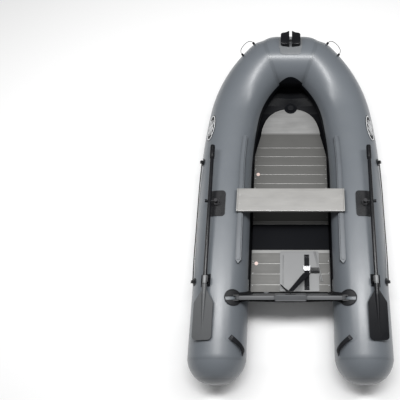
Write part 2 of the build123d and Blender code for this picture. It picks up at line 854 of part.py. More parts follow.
def oar_clip():
    """The cradle that the stowed oar lies in: a patch, a rest and a wall on the inboard side."""
    near, far = clip_y - clip_patch_length / 2, clip_y + clip_patch_length / 2
    inner = tube_radius + skin_gap
    half = clip_patch_width / 2
    prism = block(oar_x - half, oar_x + half, near, far, tube_radius, 2 * tube_radius + clip_wall)
    patch = side_sleeve(inner, inner + clip_patch_thickness, near, far) & prism
    low, high = clip_y - clip_length / 2, clip_y + clip_length / 2
    fall = (rowlock_y - low) * tan(radians(oar_slope))
    lowest = oar_z - fall - shaft_radius / cos(radians(oar_slope)) - clip_gap
    wall_face = oar_x - shaft_radius - 1.5
    rest = block(wall_face - clip_wall, oar_x + shaft_radius - 3, low, high, tube_radius, lowest)
    wall_top = lowest + 2 * shaft_radius + clip_rise
    wall = block(wall_face - clip_wall, wall_face, low, high, tube_radius, wall_top)
    return patch + (rest + wall - side_rod(inner, near, far))


# --- Bow fairlead --------------------------------------------------------------------------------


def bow_sleeve(inner, outer, half):
    """A sleeve about the axis of the bow tube."""
    sleeve = rod_x(outer, -half, half, corner_y, bow_axis_z)
    return sleeve - rod_x(inner, -half - 1, half + 1, corner_y, bow_axis_z)


def bow_patch():
    """The round-cornered patch that is glued on the bow tube under the fairlead."""
    inner = tube_radius + skin_gap
    size = (2 * bow_patch_half, bow_patch_fore - bow_patch_aft)
    prism = extrude(RectangleRounded(*size, 40), 2 * tube_radius)
    prism = Pos(0, (bow_patch_fore + bow_patch_aft) / 2, bow_axis_z + 50) * prism
    return bow_sleeve(inner, inner + patch_thickness, bow_patch_half) & prism


def bow_fairlead():
    """The moulded fairlead: two horns with a slot between them, bored for the roller's pin."""
    size = (2 * fairlead_half, fairlead_fore - fairlead_aft)
    middle = (fairlead_fore + fairlead_aft) / 2
    foot = bow_axis_z + tube_radius / 2
    body = Pos(0, middle, foot) * extrude(RectangleRounded(*size, 30), fairlead_top - foot)
    body = fillet(body.edges().group_by(Axis.Z)[-1], fairlead_round)
    slot_bottom = roller_z - roller_radius - 2
    half = fairlead_slot_half
    slot = block(-half, half, fairlead_aft - 1, fairlead_fore + 1, slot_bottom, fairlead_top + 1)
    seat_radius = tube_radius + patch_thickness + 2 * skin_gap
    seat = rod_x(seat_radius, -fairlead_half - 1, fairlead_half + 1, corner_y, bow_axis_z)
    bore = roller_pin_half + 1
    return body - slot - seat - rod_x(roller_pin_radius + running_gap, -bore, bore, middle, roller_z)


def fairlead_roller():
    """The waisted roller in the fairlead's slot."""
    middle = (fairlead_fore + fairlead_aft) / 2
    roller = rod_x(roller_radius, -roller_half, roller_half, middle, roller_z)
    bore = roller_half + 1
    return roller - rod_x(roller_pin_radius + running_gap, -bore, bore, middle, roller_z)


def fairlead_pin():
    """The pin that the roller turns on."""
    middle = (fairlead_fore + fairlead_aft) / 2
    return rod_x(roller_pin_radius, -roller_pin_half, roller_pin_half, middle, roller_z)


# --- Handles, eyes and ropes ---------------------------------------------------------------------


def handle_point(y, angle, rise):
    """A point over the side tube's inboard flank."""
    return side_plane(y, angle, tube_radius + rise).origin


def handle_strap():
    """The webbing grab strap on the inboard flank near the stern, arched off the tube."""
    ends_rise = skin_gap + patch_thickness + handle_thickness / 2 + 0.8
    fore = handle_point(handle_fore_y, handle_fore_angle, ends_rise)
    aft = handle_point(handle_aft_y, handle_aft_angle, ends_rise)
    middle_angle = (handle_fore_angle + handle_aft_angle) / 2
    middle = handle_point((handle_fore_y + handle_aft_y) / 2, middle_angle, handle_rise)
    arc = ThreePointArc(fore, middle, aft)
    across_strap = (middle - fore).cross(aft - fore).normalized()
    start = Plane(origin=fore, x_dir=across_strap, z_dir=arc % 0)
    strap = sweep(start * Rectangle(handle_width, handle_thickness), path=arc)
    return strap - side_rod(tube_radius + skin_gap + patch_thickness + small_gap, 100, 500)


def handle_patches():
    """The two round patches under the ends of a grab strap."""
    inner = tube_radius + skin_gap
    patches = []
    for y, angle in ((handle_fore_y, handle_fore_angle), (handle_aft_y, handle_aft_angle)):
        disc = side_plane(y, angle, tube_radius - 30) * extrude(Circle(handle_patch_radius), 60)
        near, far = max(dome_length, y - 60), y + 60
        patches.append(side_sleeve(inner, inner + patch_thickness, near, far) & disc)
    return patches


def lifeline_eye(y):
    """A moulded eye on the outboard flank that the lifeline passes through."""
    inner = tube_radius + skin_gap
    place = side_plane(y, -eye_angle, tube_radius - 10)
    disc = place * extrude(Circle(eye_patch_radius), 40)
    eye = side_sleeve(inner, inner + eye_patch_thickness, y - 50, y + 50) & disc
    lug = place * Pos(0, 0, (eye_rise + 10) / 2) * Box(eye_length, eye_width, eye_rise + 10)
    eye += lug - side_rod(inner, y - 50, y + 50)
    centre = side_plane(y, -eye_angle, tube_radius + 14).origin
    return eye - rod_y(eye_bore, y - eye_length, y + eye_length, centre.X, centre.Z)


# Route of the starboard lifeline between its two eyes: distance along the boat, angle outboard of the
# tube's top and distance off the tube's surface.
lifeline_route = [(1732.0, 60.0, 14.0), (1640.0, 64.0, 13.0), (1535.0, 70.5, 12.0), (1425.0, 76.0, 12.0),
                  (1310.0, 80.0, 13.0), (1195.0, 80.5, 12.0), (1080.0, 77.5, 13.0), (965.0, 72.0, 12.0),
                  (850.0, 65.5, 13.0), (740.0, 60.0, 14.0)]


# Route of the starboard bow rope: turn along the bend, angle from inboard over the top and distance off
# the tube's surface. It leaves one boss square to the tube and comes back to the other.
bow_rope_route = [(48.5, 118.0, 12.0), (48.5, 118.0, 38.0), (51.0, 119.0, 58.0), (55.3, 121.0, 58.0),
                  (57.8, 122.0, 38.0), (57.8, 122.0, 12.0)]


def bow_boss(turned, angle):
    """A moulded boss on the bow's shoulder that an end of the bow rope is fixed in."""
    axis = bend_point(turned, angle, 0)
    foot = bend_point(turned, angle, tube_radius)
    place = Plane(origin=foot, z_dir=foot - axis)
    boss = place * rod_z(bow_boss_radius, -4, bow_boss_height, 0, 0)
    boss -= bent_rod(tube_radius + skin_gap)
    return boss - place * rod_z(bow_boss_bore, 6, bow_boss_height + 1, 0, 0)


def bow_rope():
    """The starboard bow rope, a short carrying loop on the bow's shoulder."""
    points = [bend_point(turned, angle, tube_radius + off) for turned, angle, off in bow_rope_route]
    return rope_tube(points, bow_rope_radius, "bow rope")


def lifeline():
    """The starboard lifeline: a rope between the two eyes that droops along the flank."""
    points = [side_plane(y, -angle, tube_radius + off).origin for y, angle, off in lifeline_route]
    return rope_tube(points, rope_radius, "lifeline")


def rope_tube(points, thickness, name):
    """A rope through points, with arcs as large as its runs allow."""
    radii = []
    for before, here, after in zip(points, points[1:], points[2:]):
        arriving, leaving = here - before, after - here
        shorter = min(arriving.length, leaving.length)
        radii.append(0.45 * shorter / tan(radians(arriving.get_angle(leaving) / 2)))
    path = FilletPolyline(*points, radius=radii)
    print(name, "length", round(path.length), "radii", [round(radius) for radius in radii])
    section = Plane(origin=path @ 0, z_dir=path % 0) * Circle(thickness)
    rope = sweep(section, path=path)
    print(name, "volume ratio", round(rope.volume / (path.length * 3.14159 * thickness**2), 4))
    return rope


# --- Tank tray, straps and buckle ----------------------------------------------------------------


def tank_tray():
    """The flat tray on the rear floor that a fuel tank stands on, with a shallow recess."""
    size = (tray_starboard - tray_port, tray_fore - tray_aft)
    middle = ((tray_starboard + tray_port) / 2, (tray_fore + tray_aft) / 2, tray_bottom)
    tray = Pos(*middle) * extrude(RectangleRounded(*size, tray_corner), tray_thickness)
    inner = extrude(RectangleRounded(size[0] - 16, size[1] - 16, tray_corner - 6), tray_thickness)
    return tray - Pos(middle[0], middle[1], tray_bottom + 3) * inner


def stay_end(half, y, z):
    """A flat end of the stay, at a place."""
    corners = [(-half, 0), (half, 0), (half, stay_thickness), (-half, stay_thickness)]
    return make_face(Polyline(*[(x, y, z + rise) for x, rise in corners], close=True))


def tank_straps():
    """The tie-down strap over the tray, the keeper of its tail and the stay up to the transom."""
    half = strap_width / 2
    strap = block(strap_x - half, strap_x + half, strap_aft, strap_fore, strap_bottom, strap_top)
    near = strap_x + buckle_width / 2 + 2
    far = near + keeper_length
    keeper_top = strap_bottom + keeper_height
    keeper = block(near, far, buckle_y - keeper_depth, buckle_y, strap_bottom, keeper_top)
    keeper = fillet(keeper.edges().filter_by(Axis.Z), 5)
    head = transom_plane.from_local_coords(Vector(0, stay_top, -stay_standoff))
    foot_face = Pos(strap_x, 0, 0) * stay_end(26, buckle_y - 45, strap_top + 2)
    return [strap, keeper, loft([foot_face, stay_end(14, head.Y, head.Z)], ruled=True)]


def strap_buckle():
    """The metal frame of the cam buckle, on the strap, with a cheek at each side."""
    half, depth = buckle_width / 2, buckle_length / 2
    low, high = buckle_y - depth, buckle_y + depth
    frame = block(strap_x - half, strap_x + half, low, high, buckle_bottom, buckle_top)
    opening = half - 6
    bottom, top = buckle_bottom - 1, buckle_top + 1
    window = block(strap_x - opening, strap_x + opening, low + 6, high - 12, bottom, top)
    cheeks = block(strap_x - half, strap_x + half, buckle_y + 3, high, buckle_bottom, buckle_bottom + 14)
    between = lever_width / 2 + 1
    top = buckle_bottom + 15
    cheeks -= block(strap_x - between, strap_x + between, buckle_y, high + 1, buckle_top, top)
    return frame - window + cheeks


def buckle_lever():
    """The cam lever that pinches the strap, on a pin between the buckle's cheeks."""
    half = lever_width / 2
    axis_y, axis_z = buckle_y + 9, buckle_top + 5
    low, high = axis_z - lever_thickness / 2, axis_z + lever_thickness / 2
    plate = block(strap_x - half, strap_x + half, axis_y - lever_length, axis_y, low, high)
    return plate + rod_x(4, strap_x - half, strap_x + half, axis_y, axis_z)


def strap_eye():
    """The eye plate on the transom that the stay is tied to."""
    face = -inner_pad_thickness - small_gap
    plate = Pos(0, stay_top, face) * RectangleRounded(2 * eye_plate_half, eye_plate_height, 10)
    eye = extrude(plate, -eye_plate_thickness)
    ring = Rot(0, 90, 0) * Torus(eye_ring_radius, eye_ring_wire)
    ring = Pos(0, stay_top, face - eye_plate_thickness) * ring
    reach = eye_ring_radius + eye_ring_wire
    middle = face - (eye_plate_thickness + reach) / 2
    ring &= Pos(0, stay_top, middle) * Box(2 * reach, 2 * reach, reach)
    return transom_plane * (eye + ring)


def build():
    """Model and write every node."""
    os.makedirs("parts", exist_ok=True)
    side, bend = side_tube(), bow_bend()
    save("starboard_side_tube", side)
    save("port_side_tube", port(side))
    save("starboard_bow_tube", bend)
    save("port_bow_tube", port(bend))
    save("bow_tube", bow_tube())
    save("bow_baffle", bow_baffle())
    save("stern_cones", both(stern_cone()))
    save("stern_caps", both(stern_cap()))
    save("hull_bottom", hull_bottom())
    save("keel_tube", keel_tube())
    save("bow_plate", bow_plate())
    save("front_slats", front_slats())
    save("rear_slats", rear_slats())
    save("floor_strips", floor_strips())
    save("floor_channels", floor_channels())
    save("floor_web", floor_web())
    save("keel_valve_body", keel_valve_place() * valve_body(keel_flange_radius))
    save("keel_valve_cap", keel_valve_place() * valve_cap())
    save("keel_valve_plunger", keel_valve_place() * valve_plunger())
    pieces = {"valve_body": tube_valve_body()}
    pieces["valve_cap"] = tube_valve_place() * valve_cap()
    pieces["valve_plunger"] = tube_valve_place() * valve_plunger()
    for name, piece in pieces.items():
        save(f"starboard_{name}", piece)
        save(f"port_{name}", port(piece))
    save("transom", transom())
    save("motor_pads", motor_pads())
    save("pad_bolts", pad_bolts())
    save("drain_plug", drain_plug())
    save("transom_holders", both(transom_holder()))
    save("bench_seat", bench_seat())
    save("seat_rails", both(seat_rail()))
    save("seat_sliders", both(seat_slider()))
    save("rowlock_bases", both(rowlock_base()))
    moving = ((rowlock, "rowlock"), (rowlock_nut, "rowlock_nut"), (oar_shaft, "oar_shaft"),
              (oar_grip, "oar_grip"), (oar_blade, "oar_blade"))
    for make, name in moving:
        piece = make()
        save(f"starboard_{name}", piece)
        save(f"port_{name}", port(piece))
    save("oar_clips", both(oar_clip()))
    save("bow_patch", bow_patch())
    save("bow_fairlead", bow_fairlead())
    save("fairlead_roller", fairlead_roller())
    save("fairlead_pin", fairlead_pin())
    save("handle_straps", both(handle_strap()))
    save("handle_patches", [copy for patch in handle_patches() for copy in both(patch)])
    eyes = [lifeline_eye(eye_fore_y), lifeline_eye(eye_aft_y)]
    eyes += [bow_boss(*bow_rope_route[0][:2]), bow_boss(*bow_rope_route[-1][:2])]
    save("lifeline_eyes", [copy for eye in eyes for copy in both(eye)])
    save("bow_ropes", both(bow_rope()))
    rope = lifeline()
    save("starboard_lifeline", rope)
    save("port_lifeline", port(rope))
    save("tank_tray", tank_tray())
    save("tank_straps", tank_straps())
    save("strap_buckle", strap_buckle())
    save("buckle_lever", buckle_lever())
    save("strap_eye", strap_eye())
    print("overall length", round(overall_length, 1), "turn", round(full_turn, 2))


build()
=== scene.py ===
"""Looks of an inflatable dinghy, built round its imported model.

Lengths are in metres: +Y points to the bow, +X to starboard, and Z counts up from the ground.
"""

from __future__ import annotations

import json
import logging
import math
from dataclasses import dataclass
from enum import Enum
from typing import Callable, Sequence

import bmesh
import bpy
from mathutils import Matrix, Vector


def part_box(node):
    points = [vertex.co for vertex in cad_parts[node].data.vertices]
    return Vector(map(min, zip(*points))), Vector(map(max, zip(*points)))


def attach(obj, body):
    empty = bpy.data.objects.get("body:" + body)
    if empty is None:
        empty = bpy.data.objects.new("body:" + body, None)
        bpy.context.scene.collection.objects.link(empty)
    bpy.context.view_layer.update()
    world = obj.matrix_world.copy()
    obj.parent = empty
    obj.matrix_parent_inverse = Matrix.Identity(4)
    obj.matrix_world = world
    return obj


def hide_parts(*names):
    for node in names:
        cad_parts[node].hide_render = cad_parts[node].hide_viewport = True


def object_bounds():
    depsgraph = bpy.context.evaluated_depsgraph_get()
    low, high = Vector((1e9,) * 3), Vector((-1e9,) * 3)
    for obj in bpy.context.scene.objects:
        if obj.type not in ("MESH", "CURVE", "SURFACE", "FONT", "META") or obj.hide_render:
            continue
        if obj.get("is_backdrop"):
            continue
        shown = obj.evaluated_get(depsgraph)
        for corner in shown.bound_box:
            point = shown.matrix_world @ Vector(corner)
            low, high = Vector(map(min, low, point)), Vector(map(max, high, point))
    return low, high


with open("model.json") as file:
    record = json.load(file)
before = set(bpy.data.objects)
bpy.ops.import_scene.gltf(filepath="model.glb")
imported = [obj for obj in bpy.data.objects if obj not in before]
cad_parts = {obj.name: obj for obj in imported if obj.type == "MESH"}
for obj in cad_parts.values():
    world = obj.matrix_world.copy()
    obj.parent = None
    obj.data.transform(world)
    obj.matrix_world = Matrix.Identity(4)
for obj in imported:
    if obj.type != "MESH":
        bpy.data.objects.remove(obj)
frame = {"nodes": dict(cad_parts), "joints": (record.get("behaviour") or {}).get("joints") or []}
log = logging.getLogger("dinghy")
HULL = "hull"
UP = Vector((0, 0, 1))

Piece = bpy.types.Object
Surface = Callable[[float, float, float], Vector]


class Side(Enum):
    """A side of the boat, with the sign of its X."""

    STARBOARD = 1
    PORT = -1

    @property
    def label(self) -> str:
        """The side's name in piece names."""
        return self.name.lower()


class Stroke(Enum):
    """How the fine marks of a metal run."""

    ACROSS = (3.0, 260.0, 260.0)
    ALONG = (260.0, 3.0, 260.0)


# --- Shaders -------------------------------------------------------------------------------------


class Link:
    """An output of a material's node, on which arithmetic adds Math nodes."""

    def __init__(self, paint: Paint, socket: bpy.types.NodeSocket) -> None:
        """Keeps the material and the socket.

        Args:
            paint: The material in the making.
            socket: The output that this stands for.
        """
        self.paint = paint
        self.socket = socket

    def maths(self, operation: str, *values: Link | float) -> Link:
        """A Math node on some values.

        Args:
            operation: The Math node's operation.
            values: Its inputs, in order.

        Returns:
            The node's output.
        """
        return self.paint.node("ShaderNodeMath", {"operation": operation}, dict(enumerate(values)))

    def __add__(self, other: Link | float) -> Link:
        """The sum."""
        return self.maths("ADD", self, other)

    def __sub__(self, other: Link | float) -> Link:
        """The difference."""
        return self.maths("SUBTRACT", self, other)

    def __mul__(self, other: Link | float) -> Link:
        """The product."""
        return self.maths("MULTIPLY", self, other)

    def sine(self) -> Link:
        """The sine."""
        return self.maths("SINE", self)

    def clamp(self) -> Link:
        """The value, kept from 0 to 1."""
        return self.maths("MINIMUM", self.maths("MAXIMUM", self, 0.0), 1.0)


class Paint:
    """A material in the making, with its shader and its object coordinates."""

    def __init__(self, name: str) -> None:
        """Starts a material.

        Args:
            name: The material's name.
        """
        self.material = bpy.data.materials.new(name)
        self.material.use_nodes = True
        self.tree = self.material.node_tree
        self.shader = next(node for node in self.tree.nodes if node.type == "BSDF_PRINCIPLED")
        self.place = self.node("ShaderNodeTexCoord", {}, {}, "Object")

    def node(self, kind: str, settings: dict, inputs: dict, output: int | str = 0) -> Link:
        """Adds a node.

        Args:
            kind: The node's type.
            settings: Its properties, set first; "stops" are a ramp's places and colours.
            inputs: Values or links for its sockets, by number or name.
            output: The output to return.

        Returns:
            The chosen output.
        """
        node = self.tree.nodes.new(kind)
        for key, value in settings.items():
            if key == "stops":
                self._stops(node.color_ramp, value)
            else:
                setattr(node, key, value)
        for key, value in inputs.items():
            self.feed(node.inputs[key], value)
        return Link(self, node.outputs[output])

    @staticmethod
    def _stops(ramp: bpy.types.ColorRamp, stops: Sequence[tuple[float, float]]) -> None:
        """Sets a ramp's grey stops."""
        while len(ramp.elements) < len(stops):
            ramp.elements.new(0.5)
        for element, (place, grey) in zip(ramp.elements, stops):
            element.position = place
            element.color = (grey, grey, grey, 1)

    def feed(self, socket: bpy.types.NodeSocket, value: Link | float | Sequence[float]) -> None:
        """Gives an input socket a value or a link.

        Args:
            socket: The input.
            value: A link, a number, or a colour or vector.
        """
        if isinstance(value, Link):
            self.tree.links.new(value.socket, socket)
        elif isinstance(value, (int, float)):
            socket.default_value = value
        else:
            socket.default_value = (*value, 1) if socket.type == "RGBA" else tuple(value)

    def noise(self, scale: float | Sequence[float], detail: float = 3.0) -> Link:
        """Noise on the object coordinates.

        Args:
            scale: The pattern's scale, one number or one for each axis.
            detail: How many finer layers it has.

        Returns:
            The noise, from 0 to 1.
        """
        size = (scale,) * 3 if isinstance(scale, (int, float)) else tuple(scale)
        grid = self.node("ShaderNodeMapping", {}, {"Vector": self.place, "Scale": size})
        return self.node("ShaderNodeTexNoise", {}, {"Vector": grid, "Scale": 1.0, "Detail": detail}, 0)

    def axis(self, index: int) -> Link:
        """One object coordinate.

        Args:
            index: 0 for X, 1 for Y, 2 for Z.

        Returns:
            The coordinate, in metres.
        """
        return self.node("ShaderNodeSeparateXYZ", {}, {0: self.place}, index)

    def tint(self, colour: Sequence[float], other: Sequence[float], share: Link) -> Link:
        """A colour between two.

        Args:
            colour: The colour at 0.
            other: The colour at 1.
            share: Where between them.

        Returns:
            The colour.
        """
        return self.node("ShaderNodeMix", {"data_type": "RGBA"}, {0: share.clamp(), 6: colour, 7: other}, 2)

    def bump(self, height: Link, depth: float, strength: float = 1.0) -> None:
        """Raises the surface by a pattern.

        Args:
            height: The pattern.
            depth: The height in metres that 1 stands for.
            strength: How much of it is used.
        """
        normal = self.node("ShaderNodeBump", {}, {"Height": height, "Distance": depth, "Strength": strength})
        self.feed(self.shader.inputs["Normal"], normal)

    def done(self, colour: Link | Sequence[float], rough: Link | float, **fixed: float) -> bpy.types.Material:
        """Feeds the shader and gives the material.

        Args:
            colour: The base colour.
            rough: The roughness.
            fixed: Constants for other sockets, with _ for the spaces in their names.

        Returns:
            The material.
        """
        self.feed(self.shader.inputs["Base Color"], colour)
        self.feed(self.shader.inputs["Roughness"], rough)
        for key, value in fixed.items():
            self.shader.inputs[key.replace("_", " ")].default_value = value
        return self.material


def shade(colour: Sequence[float], factor: float) -> tuple[float, ...]:
    """A colour made darker or paler."""
    return tuple(min(1.0, part * factor) for part in colour)


@dataclass(frozen=True)
class CoatedFabric:
    """Coated boat fabric: a satin skin over a fine weave, a little uneven in gloss."""

    name: str
    colour: tuple[float, float, float]
    rough: float = 0.4
    mottle: float = 0.08
    gloss: float = 0.5

    def paint(self) -> bpy.types.Material:
        """The finish as a material."""
        paint = Paint(self.name)
        clouds = paint.noise(3.2, 4.0)
        specks = paint.noise(140.0, 2.0)
        share = clouds * 0.7 + specks * 0.3
        colour = paint.tint(shade(self.colour, 1 - self.mottle), shade(self.colour, 1 + self.mottle), share)
        weave = (paint.axis(0) * 4200.0).sine() * (paint.axis(1) * 4200.0).sine() * 0.12
        paint.bump(weave + paint.noise(9.0, 2.0) * 3.0 + paint.noise(420.0, 1.0) * 0.25, 0.0006, 0.6)
        return paint.done(colour, clouds * 0.16 + (self.rough - 0.08), Coat_Weight=0.5 * self.gloss,
                          Coat_Roughness=0.22, Specular_IOR_Level=self.gloss)


@dataclass(frozen=True)
class MouldedPlastic:
    """Moulded plastic or rubber with a fine grain and paler rubbed places."""

    name: str
    colour: tuple[float, float, float]
    rough: float = 0.45
    grain: float = 900.0
    gloss: float = 0.5

    def paint(self) -> bpy.types.Material:
        """The finish as a material."""
        paint = Paint(self.name)
        worn = paint.noise(6.0, 5.0) * 0.75 + paint.noise(260.0, 2.0) * 0.25
        wear = paint.node("ShaderNodeValToRGB", {"stops": [(0.35, 0.0), (0.85, 1.0)]}, {0: worn})
        colour = paint.tint(self.colour, shade(self.colour, 1.18), wear)
        paint.bump(paint.noise(self.grain, 2.0), 0.0002, 0.4)
        return paint.done(colour, wear * 0.12 + self.rough, Specular_IOR_Level=self.gloss)


@dataclass(frozen=True)
class BrushedMetal:
    """Metal with fine drawn marks, and grooves across Y where it is an extruded slat."""

    name: str
    colour: tuple[float, float, float]
    rough: float = 0.35
    stroke: Stroke = Stroke.ACROSS
    groove: float = 0.0
    metallic: float = 0.9

    def paint(self) -> bpy.types.Material:
        """The finish as a material."""
        paint = Paint(self.name)
        marks = paint.noise(self.stroke.value, 4.0)
        clouds = paint.noise(7.0, 3.0)
        share = marks * 0.6 + clouds * 0.4
        height = marks * 0.5
        if self.groove:
            ridge = (paint.axis(1) * (2 * math.pi / self.groove)).sine() * 0.5 + 0.5
            height = height + ridge
            # The ridges are painted paler and the groove bottoms darker: painted highlight and painted shade
            # in the grooves.
            share = share * 0.75 + ridge * 0.25
        colour = paint.tint(shade(self.colour, 0.78), shade(self.colour, 1.18), share)
        paint.bump(height, 0.0005, 0.7)
        return paint.done(colour, clouds * 0.2 + self.rough, Metallic=self.metallic)


@dataclass(frozen=True)
class PaintedBoard:
    """A painted board with cloudy gloss and a faint grain along X; the clouds in its colour are partly uneven
    paint and partly painted highlights.
    """

    name: str
    colour: tuple[float, float, float]
    rough: float = 0.38
    metallic: float = 0.0

    def paint(self) -> bpy.types.Material:
        """The finish as a material."""
        paint = Paint(self.name)
        grain = paint.noise((6.0, 90.0, 90.0), 5.0)
        clouds = paint.noise((5.0, 14.0, 14.0), 4.0)
        # Paler and darker clouds in the colour: uneven paint, and also painted cloudy highlights.
        colour = paint.tint(shade(self.colour, 0.62), shade(self.colour, 1.32), clouds * 0.75 + grain * 0.25)
        paint.bump(grain, 0.0003, 0.4)
        return paint.done(colour, clouds * 0.25 + self.rough, Metallic=self.metallic, Coat_Weight=0.2)


@dataclass(frozen=True)
class Webbing:
    """Woven webbing or rope, with its ribs on a slant."""

    name: str
    colour: tuple[float, float, float]
    pitch: float = 0.003

    def paint(self) -> bpy.types.Material:
        """The finish as a material."""
        paint = Paint(self.name)
        turn = 2 * math.pi / self.pitch
        rising = ((paint.axis(0) + paint.axis(1) + paint.axis(2)) * turn).sine()
        falling = ((paint.axis(0) - paint.axis(1) + paint.axis(2)) * turn).sine()
        weave = rising * falling * 0.5 + 0.5
        # The weave's raised ribs are painted paler and its hollows darker, as painted highlight and painted
        # shade, with some random tone on top.
        share = weave * 0.7 + paint.noise(60.0) * 0.3
        colour = paint.tint(shade(self.colour, 0.6), shade(self.colour, 1.7), share)
        paint.bump(weave, 0.0006, 0.8)
        return paint.done(colour, 0.6, Specular_IOR_Level=0.1)


class Finishes:
    """Every finish of the boat, made once."""

    def __init__(self) -> None:
        """Makes the materials."""
        self.tube = CoatedFabric("tube_fabric", (0.118, 0.131, 0.146), 0.38).paint()
        self.tip = CoatedFabric("stern_tip_fabric", (0.085, 0.094, 0.105), 0.42).paint()
        self.tape = CoatedFabric("seam_tape", (0.105, 0.117, 0.13), 0.34).paint()
        self.patch = CoatedFabric("patch_fabric", (0.16, 0.168, 0.176), 0.24).paint()
        self.bottom = CoatedFabric("bottom_fabric", (0.003, 0.0035, 0.005), 0.7, gloss=0.06).paint()
        self.slat = BrushedMetal("slat_metal", (0.1, 0.099, 0.095), 0.42, groove=0.0109,
                                 metallic=0.45).paint()
        self.strip = BrushedMetal("strip_metal", (0.19, 0.19, 0.186), 0.4, metallic=0.4).paint()
        self.bright = BrushedMetal("bright_trim", (0.42, 0.42, 0.41), 0.3, metallic=0.6).paint()
        self.steel = BrushedMetal("steel", (0.34, 0.34, 0.35), 0.25, Stroke.ALONG).paint()
        self.shaft = MouldedPlastic("shaft_coating", (0.007, 0.0075, 0.009), 0.2, gloss=0.22).paint()
        self.plate = PaintedBoard("plate_board", (0.27, 0.27, 0.267), 0.36, 0.3).paint()
        self.seat = PaintedBoard("seat_board", (0.265, 0.261, 0.252), 0.4, 0.1).paint()
        self.board = PaintedBoard("transom_board", (0.06, 0.063, 0.068), 0.36).paint()
        self.rail = MouldedPlastic("rail_plastic", (0.088, 0.098, 0.11), 0.36).paint()
        self.dark_steel = BrushedMetal("blackened_steel", (0.03, 0.03, 0.032), 0.3, Stroke.ALONG,
                                       metallic=0.7).paint()
        self.black = MouldedPlastic("black_plastic", (0.006, 0.0065, 0.008), 0.26, gloss=0.18).paint()
        self.rubber = MouldedPlastic("holder_rubber", (0.009, 0.0095, 0.011), 0.42, 500.0, gloss=0.25).paint()
        self.base = MouldedPlastic("rowlock_rubber", (0.014, 0.0145, 0.016), 0.24, gloss=0.35).paint()
        self.pad = MouldedPlastic("pad_plastic", (0.095, 0.098, 0.103), 0.42).paint()
        self.pale = MouldedPlastic("collar_plastic", (0.2, 0.205, 0.21), 0.4).paint()
        self.grey_blade = MouldedPlastic("grey_blade", (0.055, 0.058, 0.061), 0.4).paint()
        self.tray = MouldedPlastic("tray_plastic", (0.15, 0.153, 0.156), 0.38).paint()
        self.badge = MouldedPlastic("badge_white", (0.75, 0.76, 0.77), 0.3).paint()
        self.plug = MouldedPlastic("floor_plug", (0.72, 0.55, 0.5), 0.4).paint()
        self.web = Webbing("webbing", (0.008, 0.0085, 0.01)).paint()
        self.floor_web = CoatedFabric("floor_web_fabric", (0.003, 0.0035, 0.005), 0.65, gloss=0.06).paint()
        self.rope = Webbing("rope", (0.014, 0.014, 0.015), 0.0035).paint()
        self.thread = MouldedPlastic("thread", (0.2, 0.2, 0.21), 0.7).paint()


# --- Modelling -----------------------------------------------------------------------------------


def choose(piece: Piece) -> None:
    """Makes a piece the only selected one, and the active one."""
    bpy.ops.object.select_all(action="DESELECT")
    piece.select_set(True)
    bpy.context.view_layer.objects.active = piece


def settle(piece: Piece, name: str) -> Piece:
    """Puts a new piece's place into its mesh.

    Args:
        piece: The piece.
        name: The name that it gets.

    Returns:
        The piece.
    """
    piece.name = name
    piece.data.name = name
    choose(piece)
    bpy.ops.object.transform_apply(location=True, rotation=True, scale=True)
    return piece


def modify(piece: Piece, kind: str, **settings: object) -> Piece:
    """Adds a modifier and applies it.

    Args:
        piece: The piece.
        kind: The modifier's type.
        settings: Its properties.

    Returns:
        The piece.
    """
    choose(piece)
    modifier = piece.modifiers.new(kind.title(), kind)
    for key, value in settings.items():
        setattr(modifier, key, value)
    bpy.ops.object.modifier_apply(modifier=modifier.name)
    return piece


def round_off(piece: Piece, width: float, segments: int = 3) -> Piece:
    """Rounds a piece's sharp edges."""
    return modify(piece, "BEVEL", width=width, segments=segments, limit_method="ANGLE", angle_limit=0.6)


class Editing:
    """Edit mode on a piece, with selection by place."""

    def __init__(self, piece: Piece) -> None:
        """Keeps the piece."""
        self.piece = piece

    def __enter__(self) -> Editing:
        """Opens edit mode with nothing selected."""
        choose(self.piece)
        bpy.ops.object.mode_set(mode="EDIT")
        bpy.ops.mesh.select_all(action="DESELECT")
        return self

    def __exit__(self, *error: object) -> None:
        """Goes back to object mode."""
        bpy.ops.object.mode_set(mode="OBJECT")

    def vertices(self, test: Callable[[Vector], bool]) -> None:
        """Selects vertices, and what lies between them.

        Args:
            test: Says of a vertex's place whether it is chosen.
        """
        bpy.ops.mesh.select_mode(type="VERT")
        bpy.ops.mesh.select_all(action="DESELECT")
        mesh = bmesh.from_edit_mesh(self.piece.data)
        for vertex in mesh.verts:
            vertex.select_set(test(vertex.co))
        mesh.select_flush(True)
        bmesh.update_edit_mesh(self.piece.data)

    def faces(self, test: Callable[[Vector, Vector], bool]) -> None:
        """Selects faces.

        Args:
            test: Says of a face's centre and normal whether it is chosen.
        """
        bpy.ops.mesh.select_mode(type="FACE")
        bpy.ops.mesh.select_all(action="DESELECT")
        mesh = bmesh.from_edit_mesh(self.piece.data)
        for face in mesh.faces:
            face.select_set(test(face.calc_center_median(), face.normal))
        bmesh.update_edit_mesh(self.piece.data)

    @staticmethod
    def cut(point: Vector, normal: Vector) -> None:
        """Cuts the whole mesh at a plane and drops what is in front of it."""
        bpy.ops.mesh.select_all(action="SELECT")
        bpy.ops.mesh.bisect(plane_co=point, plane_no=normal, clear_outer=True)

    @staticmethod
    def outwards() -> None:
        """Merges doubles and turns every face outwards."""
        bpy.ops.mesh.select_all(action="SELECT")
        bpy.ops.mesh.remove_doubles(threshold=0.00002)
        bpy.ops.mesh.normals_make_consistent(inside=False)


def slab(name: str, low: Sequence[float], high: Sequence[float]) -> Piece:
    """A cube primitive between two corners, to be shaped further."""
    middle = [(a + b) / 2 for a, b in zip(low, high)]
    bpy.ops.mesh.primitive_cube_add(size=1, location=middle, scale=[b - a for a, b in zip(low, high)])
    return settle(bpy.context.object, name)


